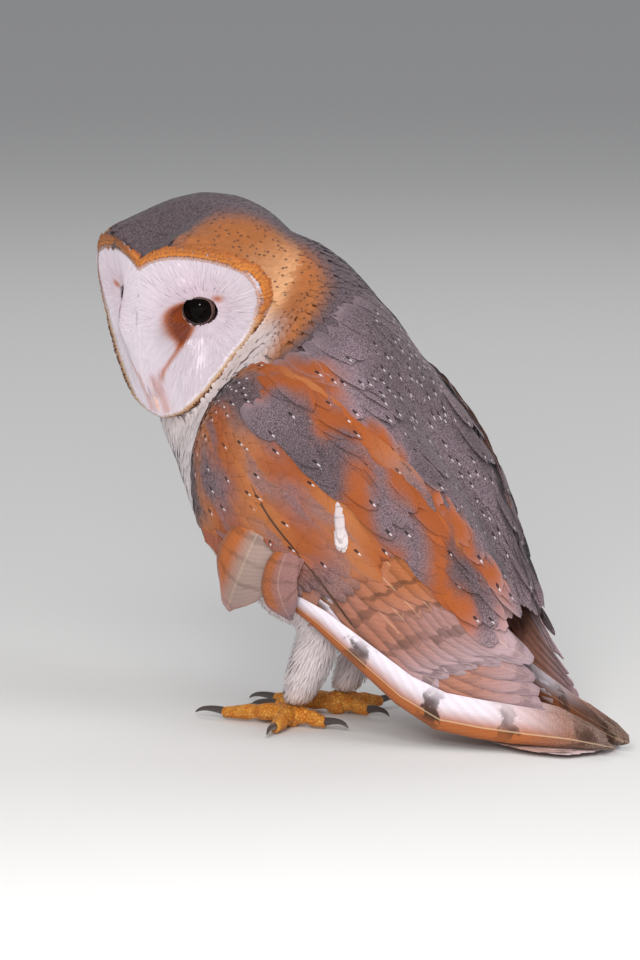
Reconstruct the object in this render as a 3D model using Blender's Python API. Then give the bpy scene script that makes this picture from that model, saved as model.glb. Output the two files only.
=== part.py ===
"""A life-size barn owl standing on a floor, looking over its left side.

Metres, +Z up. The breast points along -Y, the tail along +Y, and the owl's left side is +X.
Everything is first laid out in millimetres round a point on the floor between the feet. The last step moves
it all so that the origin is at the middle of the base of its box.
"""

import math

import bmesh
import bpy
from mathutils import Matrix, Vector

MM = 0.001
GAP = 0.4  # the thin cut between neighbouring pieces

# Stations of the neck and trunk: a point on the back and one on the breast or belly (y, z), half the width, how
# far the middle lies to the left, and how far the section is twisted towards the turned face.
BODY_STATIONS = (
    ((-61, 228), (-96, 160), 18, -12, 9),
    ((-36, 236), (-93, 138), 24, -13, 10),
    ((-7, 225), (-84, 123), 29, -13, 10),
    ((25, 203.5), (-68, 108), 47, -3, 4),
    ((48.5, 176.5), (-54, 86), 56, 0, 0),
    ((64, 144), (-37, 67), 55, 0, 0),
    ((77, 112), (-12, 55), 48, 0, 0),
    ((87, 84), (20, 46), 38, 0, 0),
    ((94, 60), (52, 36), 25, 0, 0),
    ((98, 46), (76, 28), 12, 0, 0),
)
NECK_END = 0.235  # share of the stations that is neck
BODY_SIDES = 26
BODY_RINGS = 18

# The face looks this far round to the left of the breast, and down.
HEAD_TURN = math.radians(87)
HEAD_DOWN = math.radians(15)
HEAD_ROLL = math.radians(3)
HEAD_NOTCH = Vector((45, -76, 226))  # where the two discs meet, at the forehead
# Head sizes, in its own frame: side, forward and up from the level of the notch and the middle of the face.
NOTCH_UP = 38
DISC_RIM = ((0, 36), (28, 53), (50, 53.5), (76, 52), (100, 45.5), (125, 42), (150, 43.5), (180, 46))
DISC_MIDDLE_UP = 2
DISC_SWEEP = 27  # how far the outer rims lie behind the notch
DISC_HALF_WIDTH = 50
DISC_HOLLOW = 4.5
NOSE_FORWARD = 9  # the ridge between the discs stands this far out, half-way down the face
NOSE_HALF_WIDTH = 18
RUFF_STEP = 3.0
SKULL_MIDDLE = Vector((5, -42, 5))
SKULL_HALF = Vector((50, 52, 50))
HEAD_SIDES = 32

EYE_RADIUS = 9.5
EYE_SURFACE = Vector((22.8, -10.5, 9.6))
EYE_HOLLOW = 3  # depth of the hollow round each eye
EYE_TURN = math.radians(26)  # each eye looks this far out from straight ahead

BILL_UP = -13
BILL_LENGTH = 29
BILL_RADIUS = 6.5
BILL_FORWARD = -2.5
BILL_SLANT = 2.4  # the tip stands this much further forward than the root

# Stations of the folded wing: its lower edge, its upper edge (x, y, z), its thickness and its outward swell.
WING_STATIONS = (
    ((40, -40, 152), (39, -30, 164), 7, 1),
    ((50, -41, 126), (45, -6, 181), 14, 4),
    ((56, -32, 99), (49, 22, 178), 15, 5),
    ((57, -9, 78), (46, 49, 161), 14, 6),
    ((53, 24, 59), (38, 74, 138), 12, 6),
    ((46, 57, 34), (26, 94, 112), 9, 5),
    ((40, 88, 13), (15, 110, 85), 7, 4),
    ((31, 119, 8), (9, 126, 57), 4.6, 2.5),
    ((19, 149, 6), (7, 151, 28), 3.6, 1),
    ((9, 177, 4.2), (7.5, 177, 7.2), 2.6, 0),
)
WING_RINGS = 16
WING_SIDES = 18
WING_ARM = 0.47  # share of the wing's length that is the feathered arm
ALULA_STATIONS = (
    ((55, -17, 94), 3.0, 8),
    ((60, -11, 81), 5.0, 11),
    ((60, 3, 70), 4.5, 11),
    ((56, 20, 63), 2.5, 7),
)
ALULA_SIDES = 10
ALULA_RINGS = 7

# The tail: its middle line (y, z), half its width and its thickness.
TAIL_STATIONS = (
    ((56, 40), 15, 9),
    ((78, 24), 20, 7),
    ((100, 10.5), 24, 4.6),
    ((122, 3.8), 27, 3.6),
    ((146, 1.5), 29, 2.9),
    ((166, 1.0), 27, 2.3),
)
TAIL_ROUNDING = 7  # how far the outer corners of the tail's end lie behind its middle

# Legs, for the left side: knee, ankle and the middle of the foot.
KNEE = Vector((25, -10, 90))
ANKLE = Vector((26, 23, 57))
FOOT = Vector((22, -2, 9))
FOOT_SHIFT = {1: 0, -1: -3}  # the right foot stands this much further on
THIGH_RADII = (25, 22, 13)
SHANK_RADII = (13, 10, 8)
SHANK_END = 12.2  # the down of the shank stops at this height, just over the toes
# Toes: name, angle out from straight ahead in degrees, length, claw length.
TOES = (
    ("inner", -24, 31, 15),
    ("middle", 3, 39, 19),
    ("outer", 108, 27, 14),
    ("hind", 184, 20, 14),
)
TOE_RADIUS = 4.5
TOE_SOLE = 0.0
CLAW_RADIUS = 2.1

SIDES = (("left", 1), ("right", -1))

COLOURS = {
    "upperparts": (0.55, 0.33, 0.15, 0.85),
    "underparts": (0.83, 0.79, 0.74, 0.9),
    "face": (0.86, 0.82, 0.83, 0.9),
    "flight": (0.62, 0.36, 0.14, 0.7),
    "leg_down": (0.80, 0.72, 0.66, 0.95),
    "toe_skin": (0.62, 0.33, 0.08, 0.6),
    "claw_horn": (0.06, 0.05, 0.05, 0.35),
    "bill_horn": (0.66, 0.48, 0.44, 0.4),
    "eye": (0.004, 0.003, 0.003, 0.05),
}


def material(name):
    """The named finish, made once."""
    found = bpy.data.materials.get(name)
    if found:
        return found
    red, green, blue, roughness = COLOURS[name]
    made = bpy.data.materials.new(name)
    made.use_nodes = True
    shader = made.node_tree.nodes["Principled BSDF"]
    shader.inputs["Base Color"].default_value = (red, green, blue, 1)
    shader.inputs["Roughness"].default_value = roughness
    shader.inputs["Metallic"].default_value = 0
    return made


def smooth_between(rows, share):
    """A row of numbers part-way along rows, on a smooth curve through them all."""
    place = min(max(share, 0.0), 1.0) * (len(rows) - 1)
    first = min(int(place), len(rows) - 2)
    t = place - first
    before, a, b, after = (rows[min(max(first + k, 0), len(rows) - 1)] for k in (-1, 0, 1, 2))
    return [
        0.5 * (2 * p1 + (p2 - p0) * t + (2 * p0 - 5 * p1 + 4 * p2 - p3) * t * t + (3 * p1 - p0 - 3 * p2 + p3) * t**3)
        for p0, p1, p2, p3 in zip(before, a, b, after)
    ]


def closed_tube(name, rings, finish):
    """An object skinned over rings of points, with a flat cap on each end. Points are in millimetres."""
    mesh = bpy.data.meshes.new(name)
    built = bmesh.new()
    loops = [[built.verts.new(Vector(point) * MM) for point in ring] for ring in rings]
    count = len(loops[0])
    for near, far in zip(loops, loops[1:]):
        for k in range(count):
            built.faces.new((near[k], near[(k + 1) % count], far[(k + 1) % count], far[k]))
    built.faces.new(loops[0][::-1])
    built.faces.new(loops[-1])
    bmesh.ops.triangulate(built, faces=[face for face in built.faces if len(face.verts) > 4])
    bmesh.ops.recalc_face_normals(built, faces=built.faces)
    built.to_mesh(mesh)
    built.free()
    made = bpy.data.objects.new(name, mesh)
    bpy.context.scene.collection.objects.link(made)
    mesh.materials.append(material(finish))
    mesh.shade_smooth()
    return made


def ball(name, middle, radius, finish, rings=8):
    """A sphere skinned over level rings, with small flats at its poles."""
    loops = []
    for k in range(rings + 1):
        angle = math.pi * (0.04 + 0.92 * k / rings)
        loops.append(
            [
                middle
                + radius
                * Vector(
                    (
                        math.sin(angle) * math.cos(turn),
                        math.sin(angle) * math.sin(turn),
                        math.cos(angle),
                    )
                )
                for turn in (2 * math.pi * j / (2 * rings) for j in range(2 * rings))
            ]
        )
    return closed_tube(name, loops, finish)


def swollen(source, by=GAP):
    """A hidden copy of an object, grown outwards by a few tenths of a millimetre."""
    mesh = source.data.copy()
    built = bmesh.new()
    built.from_mesh(mesh)
    built.normal_update()
    for vertex in built.verts:
        vertex.co += vertex.normal * by * MM
    built.to_mesh(mesh)
    built.free()
    made = bpy.data.objects.new(source.name + "_cutter", mesh)
    bpy.context.scene.collection.objects.link(made)
    made.hide_render = True
    made.display_type = "WIRE"
    return made


def combine(target, other, operation, keep_other=False):
    """Joins another object to the target, or cuts it away, for good."""
    step = target.modifiers.new("combine", "BOOLEAN")
    step.operation = operation
    step.solver = "EXACT"
    step.object = other
    bpy.context.view_layer.update()
    graph = bpy.context.evaluated_depsgraph_get()
    mesh = bpy.data.meshes.new_from_object(target.evaluated_get(graph))
    target.modifiers.clear()
    target.data = mesh
    if not keep_other:
        bpy.data.objects.remove(other)


def fit_round(piece, neighbours, by=GAP):
    """Cuts a piece back from its neighbours, so that a thin gap is left between them."""
    for neighbour in neighbours:
        combine(piece, swollen(neighbour, by), "DIFFERENCE")


def keep_largest(piece):
    """Drops the crumbs that a cut can leave beside a piece."""
    built = bmesh.new()
    built.from_mesh(piece.data)
    bmesh.ops.triangulate(built, faces=built.faces)
    bmesh.ops.dissolve_degenerate(built, edges=built.edges, dist=0.00002)
    left = set(built.verts)
    bodies = []
    while left:
        body = {left.pop()}
        edge = set(body)
        while edge:
            edge = {e.other_vert(v) for v in edge for e in v.link_edges} - body
            body |= edge
        left -= body
        bodies.append(body)
    largest = max(bodies, key=len)
    crumbs = [vertex for body in bodies if body is not largest for vertex in body]
    bmesh.ops.delete(built, geom=crumbs, context="VERTS")
    built.to_mesh(piece.data)
    built.free()
    piece.data.shade_smooth()
    piece.data.set_sharp_from_angle(angle=math.radians(45))


def slab(name, middle, normal, thickness):
    """A hidden cutting slab, wide enough for the whole owl."""
    across = normal.orthogonal().normalized()
    along = normal.cross(across)
    wide = 400
    corners = ((-wide, -wide), (wide, -wide), (wide, wide), (-wide, wide))
    rings = [
        [middle + normal * side * thickness / 2 + across * a + along * b for a, b in corners]
        for side in (-1, 1)
    ]
    made = closed_tube(name, rings, "underparts")
    made.hide_render = True
    made.display_type = "WIRE"
    return made


# ---- neck and trunk


def body_ring(share):
    """One oval section of the neck and trunk."""
    rows = [(*back, *belly, half, lean, twist) for back, belly, half, lean, twist in BODY_STATIONS]
    back_y, back_z, belly_y, belly_z, half, lean, twist = smooth_between(rows, share)
    middle = Vector((lean, (back_y + belly_y) / 2, (back_z + belly_z) / 2))
    up = Vector((-twist, (back_y - belly_y) / 2, (back_z - belly_z) / 2))
    ring = []
    for k in range(BODY_SIDES):
        turn = 2 * math.pi * k / BODY_SIDES
        side, rise = math.sin(turn), math.cos(turn)
        full = (abs(side) ** 2.3 + abs(rise) ** 2.3) ** (-1 / 2.3)
        ring.append(middle + up * rise * full + Vector((half * side * full, 0, 0)))
    return ring


def make_body():
    """The neck and the trunk, parted by a thin cut."""
    pieces = []
    for name, start, end, finish in (
        ("neck", 0.0, NECK_END, "underparts"),
        ("trunk", NECK_END, 1.0, "upperparts"),
    ):
        steps = max(4, round(BODY_RINGS * (end - start)))
        rings = [body_ring(start + (end - start) * k / steps) for k in range(steps + 1)]
        if name == "neck":
            rings[-1] = body_ring(end - 0.0035)
        pieces.append(closed_tube(name, rings, finish))
    return pieces


# ---- head


def rim_radius(angle):
    """How far the heart-shaped rim is from the middle of the face. The angle is from straight up, in radians."""
    degrees = abs(math.degrees(angle))
    for (a, low), (b, high) in zip(DISC_RIM, DISC_RIM[1:]):
        if degrees <= b:
            t = (degrees - a) / (b - a)
            t = t * t * (3 - 2 * t) if a == 0 else t
            return low + (high - low) * t
    return DISC_RIM[-1][1]


def face_depth(side, up, share):
    """How far the face lies in front of the notch, at a point of it. share is 0 in the middle and 1 at the rim."""
    lower = min(max((-5 - up) / 35, 0), 1)
    sweep = DISC_SWEEP * (abs(side) / DISC_HALF_WIDTH) ** 1.4 * (1 - 0.3 * lower)
    hollow = DISC_HOLLOW * (1 - share**2) * min(abs(side) / 22, 1) ** 2
    hollow += EYE_HOLLOW * math.exp(-((abs(side) - EYE_SURFACE.x) ** 2 + (up - EYE_SURFACE.z) ** 2) / 90)
    down = (NOTCH_UP - up) / (NOTCH_UP - DISC_MIDDLE_UP + DISC_RIM[-1][1])
    nose = NOSE_FORWARD * math.sin(math.pi * min(max(down, 0), 1)) ** 1.5 * math.exp(-((side / NOSE_HALF_WIDTH) ** 4))
    return nose - sweep - hollow


def head_points():
    """Rings of the head in its own frame (side, forward, up), from the middle of the face to the back of the skull."""
    shares = (0.12, 0.34, 0.56, 0.78, 0.93, 1.0)
    angles = [2 * math.pi * k / HEAD_SIDES for k in range(HEAD_SIDES)]
    angles = [a - 2 * math.pi if a > math.pi else a for a in angles]
    rings = []
    for share in shares:
        ring = []
        for angle in angles:
            reach = rim_radius(angle) * share
            side, up = math.sin(angle) * reach, DISC_MIDDLE_UP + math.cos(angle) * reach
            ring.append(Vector((side, face_depth(side, up, share), up)))
        rings.append(ring)
    rim = rings[-1]
    back_rings = 8
    for k in range(back_rings + 1):
        share = k / back_rings
        weight = min(share / 0.45, 1)
        weight = weight * weight * (3 - 2 * weight)
        ring = []
        for angle, edge in zip(angles, rim):
            start = math.acos(min(max((edge.y - SKULL_MIDDLE.y) / SKULL_HALF.y, -1), 1))
            polar = start + (math.pi * 0.96 - start) * share
            skull = SKULL_MIDDLE + Vector(
                (
                    SKULL_HALF.x * math.sin(angle) * math.sin(polar),
                    SKULL_HALF.y * math.cos(polar),
                    SKULL_HALF.z * math.cos(angle) * math.sin(polar),
                )
            )
            straight = Vector((edge.x, min(skull.y, edge.y) - RUFF_STEP * (1 - share), edge.z))
            ring.append(straight.lerp(skull, weight))
        rings.append(ring)
    return rings


def head_frame():
    """Carries head points (side, forward, up) to the owl's millimetres."""
    turn = Matrix.Rotation(HEAD_TURN - math.pi, 4, "Z")
    down = Matrix.Rotation(-HEAD_DOWN, 4, "X")
    roll = Matrix.Rotation(-HEAD_ROLL, 4, "Y")
    mirror = Matrix.Diagonal((-1, 1, 1, 1))  # +X of the turned frame is the owl's right
    turned = turn @ down @ roll @ mirror
    return Matrix.Translation(HEAD_NOTCH - turned @ Vector((0, 0, NOTCH_UP))) @ turned


def make_head():
    """The head with its sockets, the eyes and the two halves of the bill."""
    frame = head_frame()
    head = closed_tube("head", [[frame @ point for point in ring] for ring in head_points()], "face")
    pieces = [head]
    for name, side in SIDES:
        look = Vector((side * math.sin(EYE_TURN), math.cos(EYE_TURN), 0))
        surface = Vector((side * EYE_SURFACE.x, EYE_SURFACE.y, EYE_SURFACE.z))
        eye = ball("eye_" + name, frame @ (surface - look * EYE_RADIUS), EYE_RADIUS, "eye")
        fit_round(head, [eye])
        pieces.append(eye)
    for bill in make_bill(frame):
        fit_round(head, [bill])
        pieces.append(bill)
    keep_largest(head)
    return pieces


def make_bill(frame):
    """The hooked upper bill and the smaller lower one, which lies against it."""
    made = []
    for name, reach, radius, back in (("bill_upper", 1.0, 1.0, 0.0), ("bill_lower", 0.72, 0.62, 6.0)):
        rings = []
        for k in range(7):
            share = k / 6
            size = BILL_RADIUS * radius * (1 - share**1.8) ** 0.7 + 0.5
            bend = BILL_SLANT * share
            middle = Vector((0, BILL_FORWARD - back + bend, BILL_UP - BILL_LENGTH * reach * share))
            rings.append(
                [
                    frame
                    @ (middle + Vector((size * 0.62 * math.sin(turn), size * math.cos(turn), 0)))
                    for turn in (2 * math.pi * j / 12 for j in range(12))
                ]
            )
        made.append(closed_tube(name, rings, "bill_horn"))
    fit_round(made[1], [made[0]])
    keep_largest(made[1])
    return made


# ---- wings and tail


def wing_ring(share, side):
    """One lens-shaped section of the folded wing."""
    rows = [(*low, *high, thick, swell) for low, high, thick, swell in WING_STATIONS]
    row = smooth_between(rows, share)
    low, high, thick, swell = Vector(row[0:3]), Vector(row[3:6]), row[6], row[7]
    half = WING_SIDES // 2
    ring = []
    for k in range(WING_SIDES):
        outer = k < half
        t = (k if outer else WING_SIDES - k) / half
        t = 0.5 - 0.5 * math.cos(math.pi * t)
        round_edge = math.sqrt(max(4 * t * (1 - t), 0.0))
        out = swell * 4 * t * (1 - t) + (thick / 2 if outer else -thick / 2) * round_edge
        point = low.lerp(high, t) + Vector((out, 0, 0.25 * out))
        ring.append(Vector((side * point.x, point.y, point.z)))
    return ring


def make_wing(name, side):
    """The feathered arm of a wing, its alula, and the blade of its flight feathers."""
    pieces = []
    for part, start, end in (("wing_", 0.0, WING_ARM), ("flight_", WING_ARM, 1.0)):
        steps = round(WING_RINGS * (end - start))
        rings = [wing_ring(start + (end - start) * k / steps, side) for k in range(steps + 1)]
        if part == "wing_":
            rings[-1] = wing_ring(end - 0.002, side)
        pieces.append(closed_tube(part + name, rings, "upperparts" if part == "wing_" else "flight"))
    alula = closed_tube("alula_" + name, [alula_ring(k / ALULA_RINGS, side) for k in range(ALULA_RINGS + 1)], "flight")
    fit_round(alula, pieces)
    keep_largest(alula)
    return pieces + [alula]


def alula_ring(share, side):
    """One section of the small loose feathers under the bend of the wing."""
    rows = [(*middle, thick, wide) for middle, thick, wide in ALULA_STATIONS]
    x, y, z, thick, wide = smooth_between(rows, share)
    ahead = smooth_between(rows, min(share + 0.05, 1))
    behind = smooth_between(rows, max(share - 0.05, 0))
    along = (Vector(ahead[0:3]) - Vector(behind[0:3])).normalized()
    out = Vector((1, 0, 0.1)).normalized()
    across = along.cross(out).normalized()
    ring = []
    for k in range(ALULA_SIDES):
        turn = 2 * math.pi * k / ALULA_SIDES
        point = Vector((x, y, z)) + out * thick * math.cos(turn) + across * wide * math.sin(turn)
        ring.append(Vector((side * point.x, point.y, point.z)))
    return ring


def make_tail():
    """The tail as one thin fan, lying along the floor at its end."""
    rows = [(*middle, half, thick) for middle, half, thick in TAIL_STATIONS]
    rings = []
    for k in range(13):
        y, z, half, thick = smooth_between(rows, k / 12)
        ring = []
        for j in range(16):
            turn = 2 * math.pi * j / 16
            side, rise = math.sin(turn), math.cos(turn)
            full = (abs(side) ** 3 + abs(rise) ** 3) ** (-1 / 3)
            arch = 1.5 * (1 - (side * full) ** 2) * (1 - k / 12)
            bow = TAIL_ROUNDING * (side * full) ** 2 * k / 12
            ring.append(Vector((half * side * full, y - bow, max(z + arch + thick / 2 * rise * full, 0))))
        rings.append(ring)
    return closed_tube("tail", rings, "flight")


# ---- legs


def limb(name, start, end, radii, finish, sides=16, steps=6):
    """A tapering round limb from one point to another, with dished ends."""
    along = end - start
    across = along.orthogonal().normalized()
    other = along.normalized().cross(across)
    rings = []
    for k in range(steps + 1):
        share = k / steps
        (radius,) = smooth_between([(r,) for r in radii], share)
        edge = math.sin(math.pi * min(max(share, 0.04), 0.96)) ** 0.35
        rings.append(
            [
                start + along * share + (across * math.cos(turn) + other * math.sin(turn)) * radius * edge
                for turn in (2 * math.pi * j / sides for j in range(sides))
            ]
        )
    return closed_tube(name, rings, finish)


def toe_path(share, foot, heading, length):
    """The middle line of a toe: out of the foot, over its knuckle and down to the floor."""
    rise = TOE_RADIUS * (1.3 - 0.55 * share) + 1.5 * math.sin(math.pi * share) * (1 - share)
    return foot + heading * length * share + Vector((0, 0, rise - foot.z))


def make_toe(foot, heading, length):
    """One toe, with three pads under it, flat where it stands."""
    across = Vector((-heading.y, heading.x, 0))
    rings = []
    steps = 8
    for k in range(steps + 1):
        share = k / steps
        pad = 1 + 0.13 * math.cos(2 * math.pi * 3 * share)
        radius = TOE_RADIUS * (1.05 - 0.3 * share) * pad * (1 if k < steps else 0.75)
        middle = toe_path(share, foot, heading, length)
        ring = []
        for j in range(8):
            turn = 2 * math.pi * (j + 0.5) / 8
            point = middle + across * radius * math.sin(turn) + Vector((0, 0, radius * math.cos(turn)))
            ring.append(Vector((point.x, point.y, max(point.z, TOE_SOLE))))
        rings.append(ring)
    return closed_tube("toe", rings, "toe_skin")


def make_claw(name, foot, heading, length, claw):
    """One curved claw, from inside the end of its toe to a point just off the floor."""
    across = Vector((-heading.y, heading.x, 0))
    root = toe_path(0.93, foot, heading, length)
    rings = []
    steps = 5
    for k in range(steps + 1):
        share = k / steps
        radius = CLAW_RADIUS * (1 - share) ** 0.75 + 0.28
        out = claw * math.sin(share * 1.25) / math.sin(1.25)
        fall = 1.6 * math.sin(math.pi * share * 0.8) - (root.z - 0.9) * share**1.9
        middle = root + heading * out + Vector((0, 0, fall))
        up = (Vector((0, 0, 1)) + heading * share).normalized()
        rings.append(
            [
                middle + across * radius * 0.8 * math.sin(turn) + up * radius * math.cos(turn)
                for turn in (2 * math.pi * j / 7 for j in range(7))
            ]
        )
    return closed_tube(name, rings, "claw_horn")


def make_leg(name, side):
    """Thigh, shank, foot and claws of one leg."""

    def mirrored(point, shift=0):
        return Vector((side * point.x, point.y + shift, point.z))

    shift = FOOT_SHIFT[side]
    knee, ankle, foot = mirrored(KNEE), mirrored(ANKLE, shift), mirrored(FOOT, shift)
    thigh = limb("thigh_" + name, knee, ankle + (ankle - knee) * 0.12, THIGH_RADII, "leg_down")
    shank = limb("shank_" + name, ankle + (ankle - foot) * 0.1, foot - Vector((0, 0, 3)), SHANK_RADII, "leg_down", 14)
    sole = foot - Vector((0, 0, foot.z - 5.2))
    feet = ball("foot_" + name, sole, 6.5, "toe_skin", 6)
    for vertex in feet.data.vertices:
        vertex.co.z = max(vertex.co.z, TOE_SOLE * MM)
    claws = []
    for toe_name, angle, length, reach in TOES:
        turn = math.radians(angle)
        heading = Vector((side * math.sin(turn), -math.cos(turn), 0))
        toe = make_toe(foot, heading, length)
        claw = make_claw(f"claw_{name}_{toe_name}", foot, heading, length, reach)
        fit_round(claw, [toe])
        keep_largest(claw)
        claws.append(claw)
        combine(feet, toe, "UNION")
    fit_round(shank, [thigh])
    combine(shank, slab("under_shank", Vector(), Vector((0, 0, 1)), 2 * SHANK_END), "DIFFERENCE")
    keep_largest(shank)
    keep_largest(feet)
    return [thigh, shank, feet] + claws


def centre_on_base(pieces):
    """Moves everything so that the origin is at the middle of the base of the whole box."""
    points = [vertex.co for piece in pieces for vertex in piece.data.vertices]
    low = [min(point[axis] for point in points) for axis in range(3)]
    high = [max(point[axis] for point in points) for axis in range(3)]
    shift = Vector((-(low[0] + high[0]) / 2, -(low[1] + high[1]) / 2, -low[2]))
    for piece in pieces:
        piece.data.transform(Matrix.Translation(shift))


def make_owl():
    for old in list(bpy.data.objects):
        bpy.data.objects.remove(old)
    neck, trunk = make_body()
    head_pieces = make_head()
    head = head_pieces[0]
    wings = [piece for name, side in SIDES for piece in make_wing(name, side)]
    arms = [wing for wing in wings if wing.name.startswith("wing_")]
    tail = make_tail()
    legs = [piece for name, side in SIDES for piece in make_leg(name, side)]
    thighs = [leg for leg in legs if leg.name.startswith("thigh_")]
    shanks = [leg for leg in legs if leg.name.startswith("shank_")]
    fit_round(tail, [trunk])
    for shank in shanks:
        fit_round(shank, [trunk])
        keep_largest(shank)
    for thigh in thighs:
        fit_round(thigh, [trunk] + arms)
        keep_largest(thigh)
    fit_round(neck, [head] + arms)
    fit_round(trunk, [head] + [wing for wing in wings if not wing.name.startswith("alula_")])
    for piece in (neck, trunk, tail):
        keep_largest(piece)
    centre_on_base([neck, trunk, tail] + head_pieces + wings + legs)


make_owl()
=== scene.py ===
import math

import bmesh
import bpy
import numpy as np
from mathutils import Matrix, Vector
from mathutils.bvhtree import BVHTree


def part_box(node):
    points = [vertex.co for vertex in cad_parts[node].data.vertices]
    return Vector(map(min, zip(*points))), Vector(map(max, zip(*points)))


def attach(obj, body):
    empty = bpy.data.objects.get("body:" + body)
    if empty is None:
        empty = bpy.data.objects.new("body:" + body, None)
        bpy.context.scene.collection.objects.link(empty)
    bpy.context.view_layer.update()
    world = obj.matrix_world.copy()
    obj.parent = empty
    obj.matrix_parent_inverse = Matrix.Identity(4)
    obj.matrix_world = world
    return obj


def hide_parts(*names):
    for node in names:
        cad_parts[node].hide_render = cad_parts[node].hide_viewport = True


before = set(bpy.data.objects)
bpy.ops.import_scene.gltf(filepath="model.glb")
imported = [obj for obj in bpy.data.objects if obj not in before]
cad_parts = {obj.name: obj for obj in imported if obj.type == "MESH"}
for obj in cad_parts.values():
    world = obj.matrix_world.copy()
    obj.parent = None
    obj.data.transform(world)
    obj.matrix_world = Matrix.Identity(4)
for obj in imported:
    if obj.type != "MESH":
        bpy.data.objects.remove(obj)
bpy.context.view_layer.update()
rng = np.random.default_rng(7)
mm = 0.001
hands = (("left", 1), ("right", -1))


# small sums


def unit(vectors):
    return vectors / np.maximum(np.linalg.norm(vectors, axis=-1, keepdims=True), 1e-9)


def ease(low, high, x):
    t = np.clip((np.asarray(x, float) - low) / (high - low), 0, 1)
    return t * t * (3 - 2 * t)


def hump(x, middle, width):
    return np.exp(-(((x - middle) / width) ** 2))


def blend(a, b, share):
    share = np.asarray(share)[..., None]
    return a * (1 - share) + b * share


def circle(count):
    return np.linspace(0, 2 * np.pi, count, endpoint=False)


def curveThrough(rows, share):
    rows = np.asarray(rows, float)
    place = np.clip(share, 0, 1) * (len(rows) - 1)
    first = np.minimum(place.astype(int), len(rows) - 2)
    t = (place - first)[..., None]
    p0, p1, p2, p3 = (rows[np.clip(first + k, 0, len(rows) - 1)] for k in (-1, 0, 1, 2))
    cubic = (3 * p1 - p0 - 3 * p2 + p3) * t**3
    return 0.5 * (2 * p1 + (p2 - p0) * t + (2 * p0 - 5 * p1 + 4 * p2 - p3) * t * t + cubic)


def paint(red, green, blue):
    c = np.array((red, green, blue)) / 255
    return np.where(c <= 0.04045, c / 12.92, ((c + 0.055) / 1.055) ** 2.4)


def rgba(red, green, blue):
    return (*(float(c) for c in paint(red, green, blue)), 1.0)


palest = paint(230, 219, 228)
white = paint(226, 214, 215)
cream = paint(218, 186, 152)
peach = paint(212, 160, 118)
gold = paint(176, 106, 58)
deepGold = paint(158, 80, 32)
lilac = paint(134, 114, 122)
slate = paint(62, 53, 56)
blush = paint(174, 147, 153)
umber = paint(62, 42, 32)
rust = paint(132, 56, 16)
tawny = paint(134, 108, 86)


# the head's own frame: side, forward, up

headPose = {"turn": 87, "nod": -15, "tilt": -3, "neck": (45, -76, 226), "reach": 38}
headTurn = Matrix.Rotation(math.radians(headPose["turn"]) - math.pi, 3, "Z")
headTurn = headTurn @ Matrix.Rotation(math.radians(headPose["nod"]), 3, "X")
headTurn = headTurn @ Matrix.Rotation(math.radians(headPose["tilt"]), 3, "Y")
headTurn = np.array(headTurn @ Matrix.Diagonal((-1, 1, 1)))
headMiddle = np.array(headPose["neck"]) - headTurn @ np.array((0, 0, headPose["reach"]))
facing = headTurn[:, 1]
eyes = {"radius": 9.5, "outward": math.radians(26), "side": 22.8, "ahead": -10.5, "up": 9.6}
eyes |= {"openUp": 9.2, "openHalf": (7.6, 7.2)}


def inHead(points):
    return (points - headMiddle) @ headTurn


def fromHead(points):
    return points @ headTurn.T + headMiddle


def faceDepth(side, up):
    # how far the face lies in front of the notch between its two discs
    share = np.clip(headRadius(side, up), 0, 1)
    lower = np.clip((-5 - up) / 35, 0, 1)
    sweep = 27 * (np.abs(side) / 50) ** 1.4 * (1 - 0.3 * lower)
    hollow = 4.5 * (1 - share**2) * np.minimum(np.abs(side) / 22, 1) ** 2
    hollow = hollow + 3 * np.exp(-((np.abs(side) - eyes["side"]) ** 2 + (up - eyes["up"]) ** 2) / 90)
    nose = 9 * np.sin(np.pi * np.clip((38 - up) / 82, 0, 1)) ** 1.5 * np.exp(-((side / 18) ** 4))
    return nose - sweep - hollow


def around(side, up):
    # degrees from the top of the face, and millimetres from its middle
    return np.degrees(np.abs(np.arctan2(side, up - 2))), np.hypot(side, up - 2)


def headRadius(side, up):
    angle, radius = around(side, up)
    edge = np.interp(angle, (28, 50, 76, 100, 125, 150, 180), (53, 53.5, 52, 45.5, 42, 43.5, 46))
    return radius / np.where(angle < 28, 36 + 17 * ease(0, 28, angle), edge)


# degrees from the top of the face, with the radius of the pale heart, and the same for the width of its ruff
heart = {
    "degrees": (0, 10, 20, 31, 41, 52, 60, 68, 77, 87, 97, 113, 133, 150, 166, 180),
    "radius": (32, 36.5, 39.8, 42.8, 46, 50, 53, 53.6, 51.8, 47.8, 44, 39.6, 39, 41, 44.2, 45.8),
    "ruffDegrees": (0, 10, 20, 40, 55, 65, 80, 110, 180),
    "ruffWidth": (4.5, 5.0, 6.4, 7.0, 5.4, 4.2, 4.0, 4.4, 3.6),
}


def discEdge(angle):
    return np.interp(angle, heart["degrees"], heart["radius"])


def ruffWidth(angle):
    return np.interp(angle, heart["ruffDegrees"], heart["ruffWidth"])


def onFace(side, up, height=0.0):
    return fromHead(np.stack((side, faceDepth(side, up) + height, up), -1))


# everything is laid out in millimetres from home, on the floor between the feet, which the left eye finds
eyeLook = np.array((math.sin(eyes["outward"]), math.cos(eyes["outward"]), 0))
eyeCentre = np.array([eyes[key] for key in ("side", "ahead", "up")]) - eyes["radius"] * eyeLook
lowCorner, highCorner = (np.array(corner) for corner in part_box("eye_left"))
home = (lowCorner + highCorner) / 2 - mm * fromHead(eyeCentre)


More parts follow.
